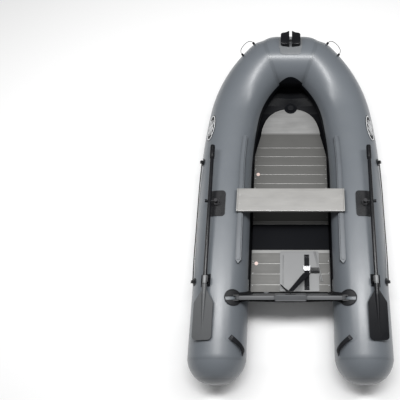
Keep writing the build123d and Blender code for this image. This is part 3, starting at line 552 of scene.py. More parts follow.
def drum(name: str, start: Vector, end: Vector, radius: float, sides: int = 40) -> Piece:
    """A cylinder primitive between two points, to be shaped further."""
    along = Vector(end) - Vector(start)
    turned = along.to_track_quat("Z", "Y").to_euler()
    middle = (Vector(start) + Vector(end)) / 2
    bpy.ops.mesh.primitive_cylinder_add(
        vertices=sides, radius=radius, depth=along.length, location=middle, rotation=turned)
    return settle(bpy.context.object, name)


def panel(name: str, steps_x: int, steps_y: int) -> Piece:
    """A flat grid from -1 to 1 both ways, to be laid on a surface."""
    bpy.ops.mesh.primitive_grid_add(x_subdivisions=steps_x, y_subdivisions=steps_y, size=2)
    return settle(bpy.context.object, name)


def lay(piece: Piece, surface: Surface) -> Piece:
    """Moves each point of a flat piece onto a surface.

    Args:
        piece: The flat piece, in its own X, Y and Z.
        surface: Gives the place of an X, a Y and a height.

    Returns:
        The piece.
    """
    for vertex in piece.data.vertices:
        vertex.co = surface(*vertex.co)
    piece.data.update()
    return piece


def sheet(name: str, steps: tuple[int, int], surface: Surface, thickness: float,
          offset: float = 0.0) -> Piece:
    """A thin sheet that follows a surface.

    Args:
        name: Its name.
        steps: How many steps it has in X and Y.
        surface: Gives the place of a flat X, Y and height.
        thickness: Its thickness.
        offset: Where the surface is in the sheet: 1 under it, 0 in its middle.

    Returns:
        The sheet.
    """
    return modify(lay(panel(name, *steps), surface), "SOLIDIFY", thickness=thickness, offset=offset)


def seal(piece: Piece) -> Piece:
    """Merges a piece's doubles and turns its faces outwards."""
    with Editing(piece) as edit:
        edit.outwards()
    return piece


def recess(piece: Piece, way: Vector, *steps: tuple[float, float]) -> Piece:
    """Insets the faces that look one way, and moves them.

    Args:
        piece: The piece.
        way: The way they look.
        steps: Each inset, and how far it moves them.

    Returns:
        The piece.
    """
    with Editing(piece) as edit:
        edit.faces(lambda place, facing: facing.dot(way) > 0.9)
        for inset, move in steps:
            bpy.ops.mesh.inset(thickness=inset)
            bpy.ops.transform.translate(value=way * move)
    return piece


def stitches(name: str, places: Sequence[Vector], radius: float, stretch: Sequence[float]) -> Piece:
    """Rows of raised stitches.

    Args:
        name: Their name.
        places: Where each is.
        radius: The thread's radius.
        stretch: A stitch's three proportions.

    Returns:
        The stitches as one piece.
    """
    bpy.ops.mesh.primitive_uv_sphere_add(segments=8, ring_count=5, radius=radius, location=places[0])
    mark = bpy.context.object
    mark.scale = stretch
    return repeat(settle(mark, "stitch"), name, places)


def copy_of(piece: Piece, name: str) -> Piece:
    """A copy of a piece with its own mesh."""
    twin = piece.copy()
    twin.data = piece.data.copy()
    twin.name = name
    twin.data.name = name
    bpy.context.scene.collection.objects.link(twin)
    return twin


def to_port(piece: Piece, name: str) -> Piece:
    """The mirror image of a starboard piece, with its faces turned outwards.

    Args:
        piece: The starboard piece.
        name: The port piece's name.

    Returns:
        The port piece.
    """
    twin = copy_of(piece, name)
    twin.scale.x = -1
    settle(twin, name)
    with Editing(twin):
        bpy.ops.mesh.select_all(action="SELECT")
        bpy.ops.mesh.flip_normals()
    return twin


def join(pieces: Sequence[Piece], name: str) -> Piece:
    """Several pieces as one mesh."""
    choose(pieces[0])
    for piece in pieces:
        piece.select_set(True)
    bpy.ops.object.join()
    pieces[0].name = name
    pieces[0].data.name = name
    return pieces[0]


def repeat(first: Piece, name: str, places: Sequence[Vector]) -> Piece:
    """A piece and its copies as one mesh.

    Args:
        first: The piece, which stands at the first of the places.
        name: The name of them all.
        places: Where they stand.

    Returns:
        The joined pieces.
    """
    row = [first]
    for place in places[1:]:
        twin = copy_of(first, f"{first.name}_copy")
        twin.location = place - places[0]
        row.append(settle(twin, twin.name))
    return join(row, name)


def dress(piece: Piece, finish: bpy.types.Material, body: str = HULL,
          stands_for: Sequence[str] = ()) -> Piece:
    """Gives a new piece its finish and its body.

    Args:
        piece: The piece.
        finish: Its material.
        body: The body that it rides on.
        stands_for: The CAD nodes that it replaces.

    Returns:
        The piece.
    """
    piece.data.materials.clear()
    piece.data.materials.append(finish)
    if piece.type == "MESH":
        choose(piece)
        bpy.ops.object.shade_smooth_by_angle(angle=math.radians(32))
    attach(piece, body)
    if stands_for:
        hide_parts(*stands_for)
    log.info("%s rides on %s", piece.name, body)
    return piece


def dress_pair(piece: Piece, finish: bpy.types.Material, body: str = HULL,
               stands_for: Sequence[str] = ()) -> None:
    """Mirrors a starboard piece to port, and dresses both as dress does."""
    for each in (to_port(piece, piece.name.replace("starboard", "port")), piece):
        dress(each, finish, body, stands_for)


def dress_node(finish: bpy.types.Material, *nodes: str) -> None:
    """Gives CAD nodes a finish."""
    for node in nodes:
        thing = frame["nodes"][node]
        thing.data.materials.clear()
        thing.data.materials.append(finish)
        log.info("%s has %s", node, finish.name)


# --- The tubes -----------------------------------------------------------------------------------


@dataclass(frozen=True)
class TubeShape:
    """The run of the starboard tube: straight, an easy bend, a tight one, and a mitre at the bow."""

    stern: float
    radius: float = 0.215
    axis_x: float = 0.54
    dome: float = 0.197
    tip_round: float = 0.195
    cone_seam: float = 0.172
    cap_seam: float = 0.051
    bend_start: float = 1.616
    easy_radius: float = 3.24
    easy_turn: float = math.radians(10.7)
    tight_radius: float = 0.74
    full_turn: float = math.radians(59.44)
    bow_half: float = 0.17
    bow_rise: float = 0.17

    def y(self, forward: float) -> float:
        """The Y of a distance forward of the stern ends."""
        return self.stern + forward

    @property
    def tilt(self) -> float:
        """How far the plane of the bend leans."""
        return math.atan(self.bow_rise / (self.axis_x - self.bow_half))

    @property
    def plane_normal(self) -> Vector:
        """The normal of the plane that the bend lies in."""
        return Vector((math.sin(self.tilt), 0, math.cos(self.tilt)))

    @property
    def bow_y(self) -> float:
        """The Y of the bow tube's axis."""
        return self.axis_point(self.full_turn).y

    def in_plane(self, forward: float, inboard: float) -> Vector:
        """A point in the plane of the bend, from the start of the bend."""
        side = Vector((-math.cos(self.tilt), 0, math.sin(self.tilt)))
        start = Vector((self.axis_x, self.y(self.bend_start), self.radius))
        return start + Vector((0, forward, 0)) + side * inboard

    def axis_point(self, turn: float) -> Vector:
        """The point of the tube's axis after a turn."""
        return self.round_point(turn, 0.0, 0.0)

    def round_point(self, turn: float, angle: float, reach: float) -> Vector:
        """A point round the bent tube's axis.

        Args:
            turn: The turn since the start of the bend, in radians.
            angle: The angle from inboard over the top, in radians.
            reach: The distance from the axis.

        Returns:
            The point on the starboard tube.
        """
        first = min(turn, self.easy_turn)
        inner = reach * math.cos(angle)
        easy, tight = self.easy_radius, self.tight_radius
        forward = easy * math.sin(first) + tight * (math.sin(turn) - math.sin(first))
        inward = easy * (1 - math.cos(first)) + tight * (math.cos(first) - math.cos(turn))
        place = self.in_plane(forward - inner * math.sin(turn), inward + inner * math.cos(turn))
        return place + self.plane_normal * (reach * math.sin(angle))

    def flank(self, forward: float, outboard: float, lift: float) -> Vector:
        """A point over the tube's skin, on its straight run or its easy bend.

        Args:
            forward: The distance forward of the stern ends.
            outboard: The angle outboard of the tube's top, in degrees.
            lift: The height over the skin.

        Returns:
            The point on the starboard tube.
        """
        if forward > self.bend_start:
            turn = math.asin((forward - self.bend_start) / self.easy_radius)
            return self.round_point(turn, math.radians(90 + outboard) - self.tilt, self.radius + lift)
        angle, reach = math.radians(outboard), self.radius + lift
        across, up = reach * math.sin(angle), reach * math.cos(angle)
        return Vector((self.axis_x + across, self.y(forward), self.radius + up))

    @property
    def end_direction(self) -> Vector:
        """The direction of the tube at its mitre."""
        return self.in_plane(math.cos(self.full_turn), math.sin(self.full_turn)) - self.in_plane(0, 0)

    @property
    def mitre(self) -> tuple[Vector, Vector]:
        """The mitre's point and its normal, towards the bow tube."""
        normal = (self.end_direction + Vector((-1, 0, 0))).normalized()
        return Vector((self.bow_half, self.bow_y, self.radius + self.bow_rise)), normal


@dataclass
class TubeSkins:
    """The inflated skins of the tubes, their seam tapes and the stern tips."""

    shape: TubeShape
    finishes: Finishes
    sides: int = 96
    tape_half: float = 0.016
    cone_tape: float = 0.016
    tip_tape: float = 0.012
    tape_lift: float = 0.0009
    skirt_aft: float = 0.77
    skirt_lift: float = 0.0014
    skirt_thick: float = 0.0009
    bow_reach: float = 0.34
    bow_rings: int = 34
    corner_reach: float = 0.13
    corner_pull: float = 0.03
    pucker_reach: float = 0.09
    pucker_depth: float = 0.0011

    def side_run(self) -> Piece:
        """The whole starboard skin, from its tip to its mitre."""
        s = self.shape
        centre = Vector((s.axis_x, s.y(s.bend_start), s.radius))
        bpy.ops.mesh.primitive_circle_add(
            vertices=self.sides, radius=s.radius, location=centre, rotation=(math.pi / 2, 0, 0))
        skin = settle(bpy.context.object, "starboard_run")
        with Editing(skin) as edit:
            edit.vertices(lambda place: True)
            self._straight()
            self._tip()
            edit.vertices(lambda place: abs(place.y - centre.y) < 1e-4)
            self._bends()
            edit.cut(*s.mitre)
            edit.outwards()
        return skin

    def _straight(self) -> None:
        """Extrudes the ring aft along the straight run."""
        steps = 16
        step = (self.shape.bend_start - self.shape.dome) / steps
        for _ in range(steps):
            bpy.ops.mesh.extrude_region_move(TRANSFORM_OT_translate={"value": (0, -step, 0)})

    def _tip(self) -> None:
        """Extrudes the rounded stern tip and closes it."""
        s = self.shape
        steps = 12
        y, ring = s.dome, s.radius
        for i in range(steps + 1):
            angle = math.pi / 2 * i / steps
            new_y = s.tip_round * (1 - math.sin(angle))
            new_ring = s.radius - s.tip_round * (1 - math.cos(angle))
            bpy.ops.mesh.extrude_region_move(TRANSFORM_OT_translate={"value": (0, new_y - y, 0)})
            pivot = (s.axis_x, s.y(new_y), s.radius)
            shrink = new_ring / ring
            bpy.ops.transform.resize(value=(shrink, 1, shrink), center_override=pivot)
            y, ring = new_y, new_ring
        bpy.ops.mesh.edge_face_add()

    def _bends(self) -> None:
        """Spins the ring round both bends and runs on past the mitre."""
        s = self.shape
        easy = s.in_plane(0, s.easy_radius)
        bpy.ops.mesh.spin(steps=8, angle=-s.easy_turn, center=easy, axis=s.plane_normal)
        start = s.axis_point(s.easy_turn)
        inward = s.in_plane(-math.sin(s.easy_turn), math.cos(s.easy_turn)) - s.in_plane(0, 0)
        tight = start + inward * s.tight_radius
        bpy.ops.mesh.spin(steps=28, angle=s.easy_turn - s.full_turn, center=tight, axis=s.plane_normal)
        bpy.ops.mesh.extrude_region_move(TRANSFORM_OT_translate={"value": s.end_direction * 0.14})

    def bow_run(self) -> Piece:
        """The skin of the transverse bow tube, between its two mitres."""
        s = self.shape
        point, _ = s.mitre
        start, end = (Vector((x, point.y, point.z)) for x in (-self.bow_reach, self.bow_reach))
        skin = drum("bow_run", start, end, s.radius, self.sides)
        with Editing(skin) as edit:
            edit.faces(lambda place, facing: abs(facing.x) > 0.9)
            bpy.ops.mesh.delete(type="FACE")
            for step in range(1, self.bow_rings):
                bpy.ops.mesh.select_all(action="SELECT")
                x = -self.bow_reach + 2 * self.bow_reach * step / self.bow_rings
                bpy.ops.mesh.bisect(plane_co=(x, 0, 0), plane_no=(1, 0, 0))
            self.trim_to_mitres(edit)
            edit.outwards()
        return skin

    def trim_to_mitres(self, edit: Editing) -> None:
        """Cuts what lies across the bow at both mitres."""
        point, normal = self.shape.mitre
        edit.cut(point, -normal)
        edit.cut(Vector((-point.x, point.y, point.z)), Vector((normal.x, -normal.y, -normal.z)))

    def band(self, skin: Piece, name: str, point: Vector, normal: Vector,
             width: float) -> Piece:
        """A tape round a skin.

        Args:
            skin: The skin that it is glued on.
            name: The tape's name.
            point: A point of its front edge.
            normal: The direction along the tube, towards that edge.
            width: Its width.

        Returns:
            The tape.
        """
        tape = copy_of(skin, name)
        with Editing(tape) as edit:
            edit.cut(point, normal)
            edit.cut(point - normal * width, -normal)
        return modify(tape, "SOLIDIFY", thickness=self.tape_lift, offset=1.0)

    def build(self) -> None:
        """Makes the skins, tips and tapes of both sides."""
        s = self.shape
        point, normal = s.mitre
        aft = Vector((0, -1, 0))
        run = self.side_run()
        cap = copy_of(run, "starboard_stern_tip")
        with Editing(cap) as edit:
            edit.cut(Vector((0, s.y(s.cap_seam), 0)), -aft)
        self.round_corner(run)
        cone = Vector((0, s.y(s.cone_seam + self.cone_tape / 2), 0))
        tip = Vector((0, s.y(s.cap_seam + self.tip_tape / 2), 0))
        tapes = [
            self.band(run, "starboard_mitre_tape", point, normal, self.tape_half),
            self.band(run, "starboard_cone_tape", cone, -aft, self.cone_tape),
            self.band(run, "starboard_tip_tape", tip, -aft, self.tip_tape),
        ]
        with Editing(run) as edit:
            edit.cut(Vector((0, s.y(s.cap_seam), 0)), aft)
        self._wrinkle(run)
        f = self.finishes
        for tape in tapes:
            dress_pair(tape, f.tape)
        dress_pair(cap, f.tip, stands_for=["stern_caps"])
        for side in Side:
            skin = run if side is Side.STARBOARD else to_port(run, "port_run")
            skin.name = f"{side.label}_tube_skin"
            nodes = [f"{side.label}_side_tube", f"{side.label}_bow_tube", "stern_cones"]
            dress(skin, f.tube, stands_for=nodes)
        bow = self.round_corner(self.bow_run())
        # Both skirts are black bottom fabric that also paints the shade on the tubes' lower inboard flanks.
        dress_pair(self.side_skirt(), f.bottom)
        dress(self.bow_skirt(), f.bottom)
        tape = self.band(bow, "starboard_bow_tape", point + normal * self.tape_half, normal, self.tape_half)
        dress_pair(tape, f.tape)
        dress(bow, f.tube, stands_for=["bow_tube"])
        dress_node(f.tube, "bow_baffle")

    def side_skirt(self) -> Piece:
        """The black skirt over the starboard bottom seam, from the transom to the mitre; it is also painted
        shade, a dark sheet laid high on the tube's lower inboard flank where shade falls.
        """
        s = self.shape
        past = math.radians(64)
        straight = s.bend_start - self.skirt_aft
        total = straight + s.easy_radius * s.easy_turn + s.tight_radius * (past - s.easy_turn)

        def on_tube(u: float, v: float, w: float) -> Vector:
            """The place on the tube of a flat skirt's point."""
            run = (u + 1) / 2 * total
            turn = max(0.0, min((run - straight) / s.easy_radius, s.easy_turn))
            turn += max(0.0, run - straight - s.easy_radius * s.easy_turn) / s.tight_radius
            # The skirt's upper edge is set high so that its black paints the shade on the inboard flank.
            upper = math.radians(-13.7 - 6.0 * (turn / s.full_turn) ** 3)
            lower = math.radians(-49.0) - s.tilt
            angle = upper + (lower - upper) * (1 - v) / 2
            place = s.round_point(turn, angle, s.radius + self.skirt_lift)
            return place + Vector((0, min(0.0, run - straight), 0))

        skirt = lay(panel("starboard_skirt", 110, 14), on_tube)
        with Editing(skirt) as edit:
            edit.cut(*s.mitre)
        return seal(modify(skirt, "SOLIDIFY", thickness=self.skirt_thick, offset=0.0))

    def bow_skirt(self) -> Piece:
        """The black skirt under the bow tube, between the mitres; it is also painted shade, a dark sheet on
        the bow tube's aft flank where shade falls.
        """
        point, _ = self.shape.mitre

        def on_tube(u: float, v: float, w: float) -> Vector:
            """The place on the bow tube of a flat skirt's point."""
            # The top edge arches up at the middle to paint the dark shade under the bow tube.
            angle = math.radians(139 - (33 - 90 * u * u) * (v + 1))
            reach = self.shape.radius + self.skirt_lift
            return Vector((u * 0.3, point.y - reach * math.sin(angle), point.z + reach * math.cos(angle)))

        skirt = lay(panel("bow_skirt", 30, 18), on_tube)
        with Editing(skirt) as edit:
            self.trim_to_mitres(edit)
        return seal(modify(skirt, "SOLIDIFY", thickness=self.skirt_thick, offset=0.0))

    def round_corner(self, skin: Piece) -> Piece:
        """Pulls in the outer corner of the mitres, which pressure rounds off."""
        s = self.shape
        point, normal = s.mitre
        out = (Vector((1, 0, 0)) + s.end_direction).normalized()
        for vertex in skin.data.vertices:
            sign = 1 if vertex.co.x >= 0 else -1
            place = Vector((sign * vertex.co.x, vertex.co.y, vertex.co.z)) - point
            away = abs(place.dot(normal))
            outer = max(0.0, place.dot(out) / s.radius)
            if away < self.corner_reach and outer > 0:
                pull = out * (-self.corner_pull * outer**2 * (1 - away / self.corner_reach) ** 2)
                vertex.co += Vector((sign * pull.x, pull.y, pull.z))
        skin.data.update()
        return skin

    def _wrinkle(self, skin: Piece) -> None:
        """Gives the skin the shallow puckers that pull inwards along its mitre."""
        point, normal = self.shape.mitre
        for vertex in skin.data.vertices:
            away = abs((vertex.co - point).dot(normal))
            if 0.004 < away < self.pucker_reach:
                centre = self.shape.axis_point(self.shape.full_turn)
                out = vertex.co - centre
                around = math.atan2(out.z, out.x)
                ripple = math.sin(around * 23) * math.sin(math.pi * away / self.pucker_reach)
                depth = self.pucker_depth * ripple
                vertex.co -= out.normalized() * max(0.0, depth)
        skin.data.update()


# --- Floor, seat and transom ---------------------------------------------------------------------


@dataclass
class Floor:
    """The slatted floor's bright joints, the bow board's trim, the rivets along the floor's side channels and
    its plugs.
    """

    shape: TubeShape
    finishes: Finishes
    top: float = 0.125
    slat_pitch: float = 0.698 / 8
    first_seam: float = 1.292
    last_seam: float = 1.99
    rear_seams: tuple[float, ...] = (0.9292, 0.8424, 0.7556)
    slat_half: float = 0.314
    last_half: float = 0.296
    seam_half: float = 0.0016
    seam_proud: float = 0.0012
    plug_radius: float = 0.015
    plug_proud: float = 0.0022
    rivet_x: float = 0.306
    rivet_radius: float = 0.0042
    rivet_proud: float = 0.0018

    def seam(self, forward: float, half: float) -> Piece:
        """One bright line across the floor, of a half length."""
        y = self.shape.y(forward)
        low = (-half, y - self.seam_half, self.top - 0.0005)
        bar = slab("seam", low, (half, y + self.seam_half, self.top + self.seam_proud))
        return round_off(bar, 0.0007, 2)

    def slat_seams(self) -> Piece:
        """The bright lines where one slat hooks into the next."""
        front = [self.first_seam + i * self.slat_pitch for i in range(8)]
        places = [Vector((0, forward, 0)) for forward in (*front, *self.rear_seams)]
        seams = repeat(self.seam(self.first_seam, self.slat_half), "long_seams", places)
        return join([seams, self.seam(self.last_seam, self.last_half)], "slat_seams")

    def plate_trim(self) -> Piece:
        """The thin bright rim round the bow board's arch."""
        y = self.shape.y
        right = [(0.262, 2.14), (0.256, 2.18), (0.243, 2.222), (0.227, 2.263), (0.204, 2.302), (0.174, 2.335),
                 (0.138, 2.361), (0.098, 2.379), (0.058, 2.3885)]
        rims = []
        for sign in (1, -1):
            rim = panel("rim", len(right) - 1, 2)

            def along(u: float, v: float, w: float, sign: int = sign) -> Vector:
                """A point of the rim, with U along the arch and V across it."""
                place = (u + 1) / 2 * (len(right) - 1)
                i = min(int(place), len(right) - 2)
                a, b = Vector(right[i]), Vector(right[i + 1])
                here = a.lerp(b, place - i)
                inwards = Vector((-(b - a).y, (b - a).x)).normalized() * (0.0025 * (v + 1))
                return Vector((sign * (here.x + inwards.x), y(here.y + inwards.y), self.top + 0.0004))

            modify(rim, "SUBSURF", levels=1, render_levels=1, subdivision_type="SIMPLE")
            seal(lay(rim, along))
            rims.append(modify(rim, "SOLIDIFY", thickness=0.0012, offset=0.0))
        return join(rims, "plate_trim")

    def plugs(self) -> Piece:
        """The two round plugs in the floor, dished round a raised middle."""
        feet = [Vector((x, self.shape.y(forward), self.top))
                for x, forward in ((-0.281, 1.728), (-0.277, 0.93))]
        plug = drum("plug", feet[0], feet[0] + UP * self.plug_proud, self.plug_radius, 32)
        plug = round_off(recess(plug, UP, (0.004, -0.0008), (0.006, 0.0006)), 0.0005, 2)
        return repeat(plug, "floor_plugs", feet)

    def rivets(self) -> Piece:
        """The rivets along the floor's side channels."""
        feet = [Vector((self.rivet_x, self.shape.y(forward), self.top))
                for forward in (1.33, 1.42, 1.51, 1.6, 1.69, 1.78, 1.87, 0.75, 0.85, 0.95)]
        rivet = drum("rivet", feet[0], feet[0] + UP * self.rivet_proud, self.rivet_radius, 12)
        rivet = round_off(rivet, 0.001, 2)
        row = repeat(rivet, "starboard_rivets", feet)
        return join([row, to_port(row, "port_rivets")], "floor_rivets")

    def build(self) -> None:
        """Makes and dresses the floor's pieces."""
        f = self.finishes
        dress(self.slat_seams(), f.bright)
        dress(self.plate_trim(), f.bright)
        dress(self.rivets(), f.steel)
        dress(self.plugs(), f.plug)
        dress_node(f.slat, "front_slats", "rear_slats")
        dress_node(f.strip, "floor_strips")
        dress_node(f.black, "floor_channels")
        dress_node(f.floor_web, "floor_web")
        dress_node(f.plate, "bow_plate")
        dress_node(f.bottom, "hull_bottom")
        dress_node(f.tube, "keel_tube")


@dataclass
class BenchSeat:
    """The bench seat: a crowned plank with end caps, screwed to its sliders."""

    finishes: Finishes
    crown: float = 0.003
    cap: float = 0.012
    screw_x: float = 0.395
    screw_y: float = 0.035
    screw_radius: float = 0.006
    screw_proud: float = 0.0012

    def plank(self) -> Piece:
        """The plank, a little higher along its middle."""
        low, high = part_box("bench_seat")
        crest = (high.x - self.cap, high.y, high.z - self.crown)
        plank = slab("seat_plank", (low.x + self.cap, low.y, low.z), crest)
        with Editing(plank):
            bpy.ops.mesh.select_all(action="SELECT")
            bpy.ops.mesh.subdivide(number_cuts=10)
        middle, half = (low.y + high.y) / 2, (high.y - low.y) / 2
        for vertex in plank.data.vertices:
            if vertex.co.z > (low.z + high.z) / 2:
                vertex.co.z += self.crown * (1 - ((vertex.co.y - middle) / half) ** 2)
        return round_off(plank, 0.008, 4)

    def end_cap(self) -> Piece:
        """The moulded starboard end cap."""
        low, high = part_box("bench_seat")
        cap = slab("starboard_seat_end", (high.x - self.cap, low.y, low.z), (high.x, high.y, high.z))
        return round_off(recess(cap, Vector((1, 0, 0)), (0.005, -0.0015)), 0.004, 3)

    def screws(self) -> Piece:
        """The four screws into the sliders, with their sunk driver holes."""
        low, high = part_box("bench_seat")
        middle, proud = (low.y + high.y) / 2, UP * self.screw_proud
        places = [Vector((x, middle + y, high.z)) - proud
                  for x in (-self.screw_x, self.screw_x) for y in (-self.screw_y, self.screw_y)]
        screw = drum("screw", places[0], places[0] + proud, self.screw_radius, 20)
        return repeat(round_off(recess(screw, UP, (0.0025, -0.001)), 0.0004, 2), "seat_screws", places)

    def build(self) -> None:
        """Makes and dresses the seat."""
        f = self.finishes
        dress(self.plank(), f.seat, "seat", ["bench_seat"])
        dress_pair(self.end_cap(), f.seat, "seat", ["bench_seat"])
        dress(self.screws(), f.steel, "seat")
        dress_node(f.black, "seat_sliders")
        dress_node(f.rail, "seat_rails")


@dataclass
class Transom:
    """The raked transom's edge guard, pad grips and holder rims."""

    shape: TubeShape
    finishes: Finishes
    rake: float = math.radians(16.4)
    base_y: float = 0.69
    base_z: float = 0.125
    thick: float = 0.025
    rise: float = 0.295
    guard_ends: tuple[float, float] = (-0.375, -0.121)
    guard_deep: float = 0.012
    guard_wall: float = 0.0022
    pad_thick: float = 0.012
    grip_half: float = 0.068
    grip_lowest: float = 0.165
    grip_high: float = 0.007
    grip_pitch: float = 0.016
    grip_count: int = 7

    def at(self, x: float, up: float, aft: float) -> Vector:
        """A point in the transom's own directions.

        Args:
            x: Across the boat.
            up: Up the board, from the floor.
            aft: Aft of the board's front face.

        Returns:
            The point.
        """
        c, s = math.cos(self.rake), math.sin(self.rake)
        return Vector((x, self.shape.y(self.base_y) - up * s - aft * c, self.base_z + up * c - aft * s))

    def turned_slab(self, name: str, low: Sequence[float], high: Sequence[float]) -> Piece:
        """A cube primitive between two corners in the transom's own directions."""
        return lay(slab(name, low, high), self.at)

    def top_guard(self) -> Piece:
        """The dark channel over the board's top edge, each side of the pads."""
        up, wall = self.rise / math.cos(self.rake), self.guard_wall
        start, end = self.guard_ends
        low, high = (start, up - self.guard_deep, -wall), (end, up + wall, self.thick + wall)
        guard = self.turned_slab("guard", low, high)
        places = [self.at(x, up, 0.0) for x in (start, -end)]
        return repeat(round_off(guard, 0.002, 2), "transom_guard", places)

    def pad_grips(self) -> Piece:
        """The raised bars across the outer pad that grip an outboard's clamp."""
        face, lowest, half = self.thick + self.pad_thick, self.grip_lowest, self.grip_half
        low, high = (-half, lowest, face - 0.001), (half, lowest + self.grip_high, face + 0.0016)
        bar = self.turned_slab("grip", low, high)
        places = [self.at(0.0, lowest + row * self.grip_pitch, face) for row in range(self.grip_count)]
        return repeat(round_off(bar, 0.0012, 2), "pad_grips", places)

    def holder_rim(self) -> Piece:
        """The thin raised rim round the starboard holder's disc."""
        s = self.shape
        up = (0.4 - self.base_z) / math.cos(self.rake)
        centre = self.at(0.421, up, self.thick / 2)
        bpy.ops.mesh.primitive_torus_add(
            major_radius=0.056, minor_radius=0.0028, major_segments=64, minor_segments=10, location=(0, 0, 0))
        rim = settle(bpy.context.object, "starboard_holder_rim")

        def on_tube(x: float, y: float, z: float) -> Vector:
            """The place on the tube above a point of the flat ring."""
            px = centre.x + x
            surface = s.radius + 0.0003 + 0.009
            height = math.sqrt(max(0.0, surface**2 - (px - s.axis_x) ** 2))
            out = Vector((px - s.axis_x, 0, height)).normalized()
            return Vector((px, centre.y + y, s.radius + height)) + out * z

        return lay(rim, on_tube)

    def build(self) -> None:
        """Makes and dresses the transom's pieces."""
        f = self.finishes
        dress(self.top_guard(), f.pad)
        dress(self.pad_grips(), f.pad)
        dress_pair(self.holder_rim(), f.rubber)
        dress_node(f.board, "transom")
        dress_node(f.pad, "motor_pads")
        dress_node(f.steel, "pad_bolts")
        dress_node(f.rubber, "transom_holders")
        dress_node(f.pad, "drain_plug")


# --- Rowing gear ---------------------------------------------------------------------------------


@dataclass
class Rowing:
    """The oars' collars and grip rings, and the dress of the blades and the rowlocks."""

    shape: TubeShape
    finishes: Finishes
    pin: tuple[float, float, float] = (0.626, 1.33, 0.48)
    slope: float = math.atan(0.025 / 0.61)
    grip_run: tuple[float, float] = (0.372, 0.462)
    grip_radius: float = 0.0186
    grip_rings: int = 9
    collar_run: tuple[float, float] = (-0.64, -0.583)
    collar_radius: float = 0.01535
    ring_half: float = 0.0022
    ring_proud: float = 0.0011

    def along(self, forward: float) -> Vector:
        """The point of the starboard oar's axis at a distance forward of its pin."""
        x, y, z = self.pin
        run = Vector((0, math.cos(self.slope), math.sin(self.slope))) * forward
        return Vector((x, self.shape.y(y), z)) + run

    def sleeve(self, name: str, start: float, end: float, radius: float, rings: int) -> Piece:
        """A moulded sleeve on the starboard oar, with raised rings.

        Args:
            name: Its name.
            start: Where it starts, forward of the pin.
            end: Where it ends.
            radius: Its radius between the rings.
            rings: How many rings it has.

        Returns:
            The sleeve.
        """
        body = round_off(drum(name, self.along(start), self.along(end), radius, 32), 0.0012, 2)
        if not rings:
            return body
        middles = [start + (end - start) * (i + 0.5) / rings for i in range(rings)]
        back, fore = (self.along(middles[0] + half) for half in (-self.ring_half, self.ring_half))
        ring = round_off(drum("ring", back, fore, radius + self.ring_proud, 32), 0.0009, 2)
        return join([body, repeat(ring, "rings", [self.along(middle) for middle in middles])], name)

    def build(self) -> None:
        """Makes and dresses the rowing gear."""
        f = self.finishes
        grip = self.sleeve("starboard_grip_rings", *self.grip_run, self.grip_radius, self.grip_rings)
        collar = self.sleeve("starboard_collar", *self.collar_run, self.collar_radius, 0)
        for side in Side:
            label = side.label
            oar = f"{label}_oar"
            rings = grip if side is Side.STARBOARD else to_port(grip, "port_grip_rings")
            dress(rings, f.black, oar)
            ring = collar if side is Side.STARBOARD else to_port(collar, "port_collar")
            dress(ring, f.pale, oar)
            dress_node(f.shaft, f"{label}_oar_shaft")
            dress_node(f.black, f"{label}_oar_grip", f"{label}_rowlock_nut")
            dress_node(f.dark_steel, f"{label}_rowlock")
        dress_node(f.black, "starboard_oar_blade")
        dress_node(f.grey_blade, "port_oar_blade")
        dress_node(f.base, "rowlock_bases")
        dress_node(f.black, "oar_clips")


# --- Lines, straps and badges --------------------------------------------------------------------


@dataclass
class Lines:
    """The lifelines and bow ropes."""

    shape: TubeShape
    finishes: Finishes
    lifeline_radius: float = 0.004
    bow_rope_radius: float = 0.0025
    lifeline_length: float = 1.007
    bow_rope_length: float = 0.198
    lifeline_route: tuple[tuple[float, float, float], ...] = (
        (1.732, 60.0, 0.014), (1.64, 64.0, 0.011), (1.535, 70.5, 0.008), (1.425, 76.0, 0.0062),
        (1.31, 80.0, 0.006), (1.195, 80.5, 0.006), (1.08, 77.5, 0.0062), (0.965, 72.0, 0.008),
        (0.85, 65.5, 0.011), (0.74, 60.0, 0.014))
    bow_rope_route: tuple[tuple[float, float, float], ...] = (
        (48.5, 118.0, 0.012), (48.5, 118.0, 0.038), (51.0, 119.0, 0.058), (55.3, 121.0, 0.058),
        (57.8, 122.0, 0.038), (57.8, 122.0, 0.012))

    @staticmethod
    def rope(name: str, points: Sequence[Vector], radius: float) -> Piece:
        """A rope on one smooth line.

        Args:
            name: Its name.
            points: The line's control points.
            radius: The rope's radius.

        Returns:
            The rope.
        """
        curve = bpy.data.curves.new(name, "CURVE")
        curve.dimensions = "3D"
        curve.bevel_depth = radius
        curve.bevel_resolution = 4
        curve.resolution_u = 8
        curve.use_fill_caps = True
        spline = curve.splines.new("NURBS")
        spline.points.add(len(points) - 1)
        for control, place in zip(spline.points, points):
            control.co = (*place, 1)
        spline.order_u = 3
        spline.use_endpoint_u = True
        piece = bpy.data.objects.new(name, curve)
        bpy.context.scene.collection.objects.link(piece)
        return piece

    def build(self) -> None:
        s, f = self.shape, self.finishes
        life = [s.flank(*stop) for stop in self.lifeline_route]
        bow = [s.round_point(math.radians(turn), math.radians(angle), s.radius + off)
               for turn, angle, off in self.bow_rope_route]
        for side in Side:
            lifeline = f"{side.label}_lifeline"
            for name, route, radius, length, node in (
                    ("lifeline_rope", life, self.lifeline_radius, self.lifeline_length, lifeline),
                    ("bow_loop", bow, self.bow_rope_radius, self.bow_rope_length, "bow_ropes")):
                points = [Vector((side.value * p.x, p.y, p.z)) for p in route]
                rope = self.rope(f"{side.label}_{name}", points, radius)
                dress(rope, f.rope, stands_for=[node])
                2 * radius
        dress_node(f.rubber, "lifeline_eyes")


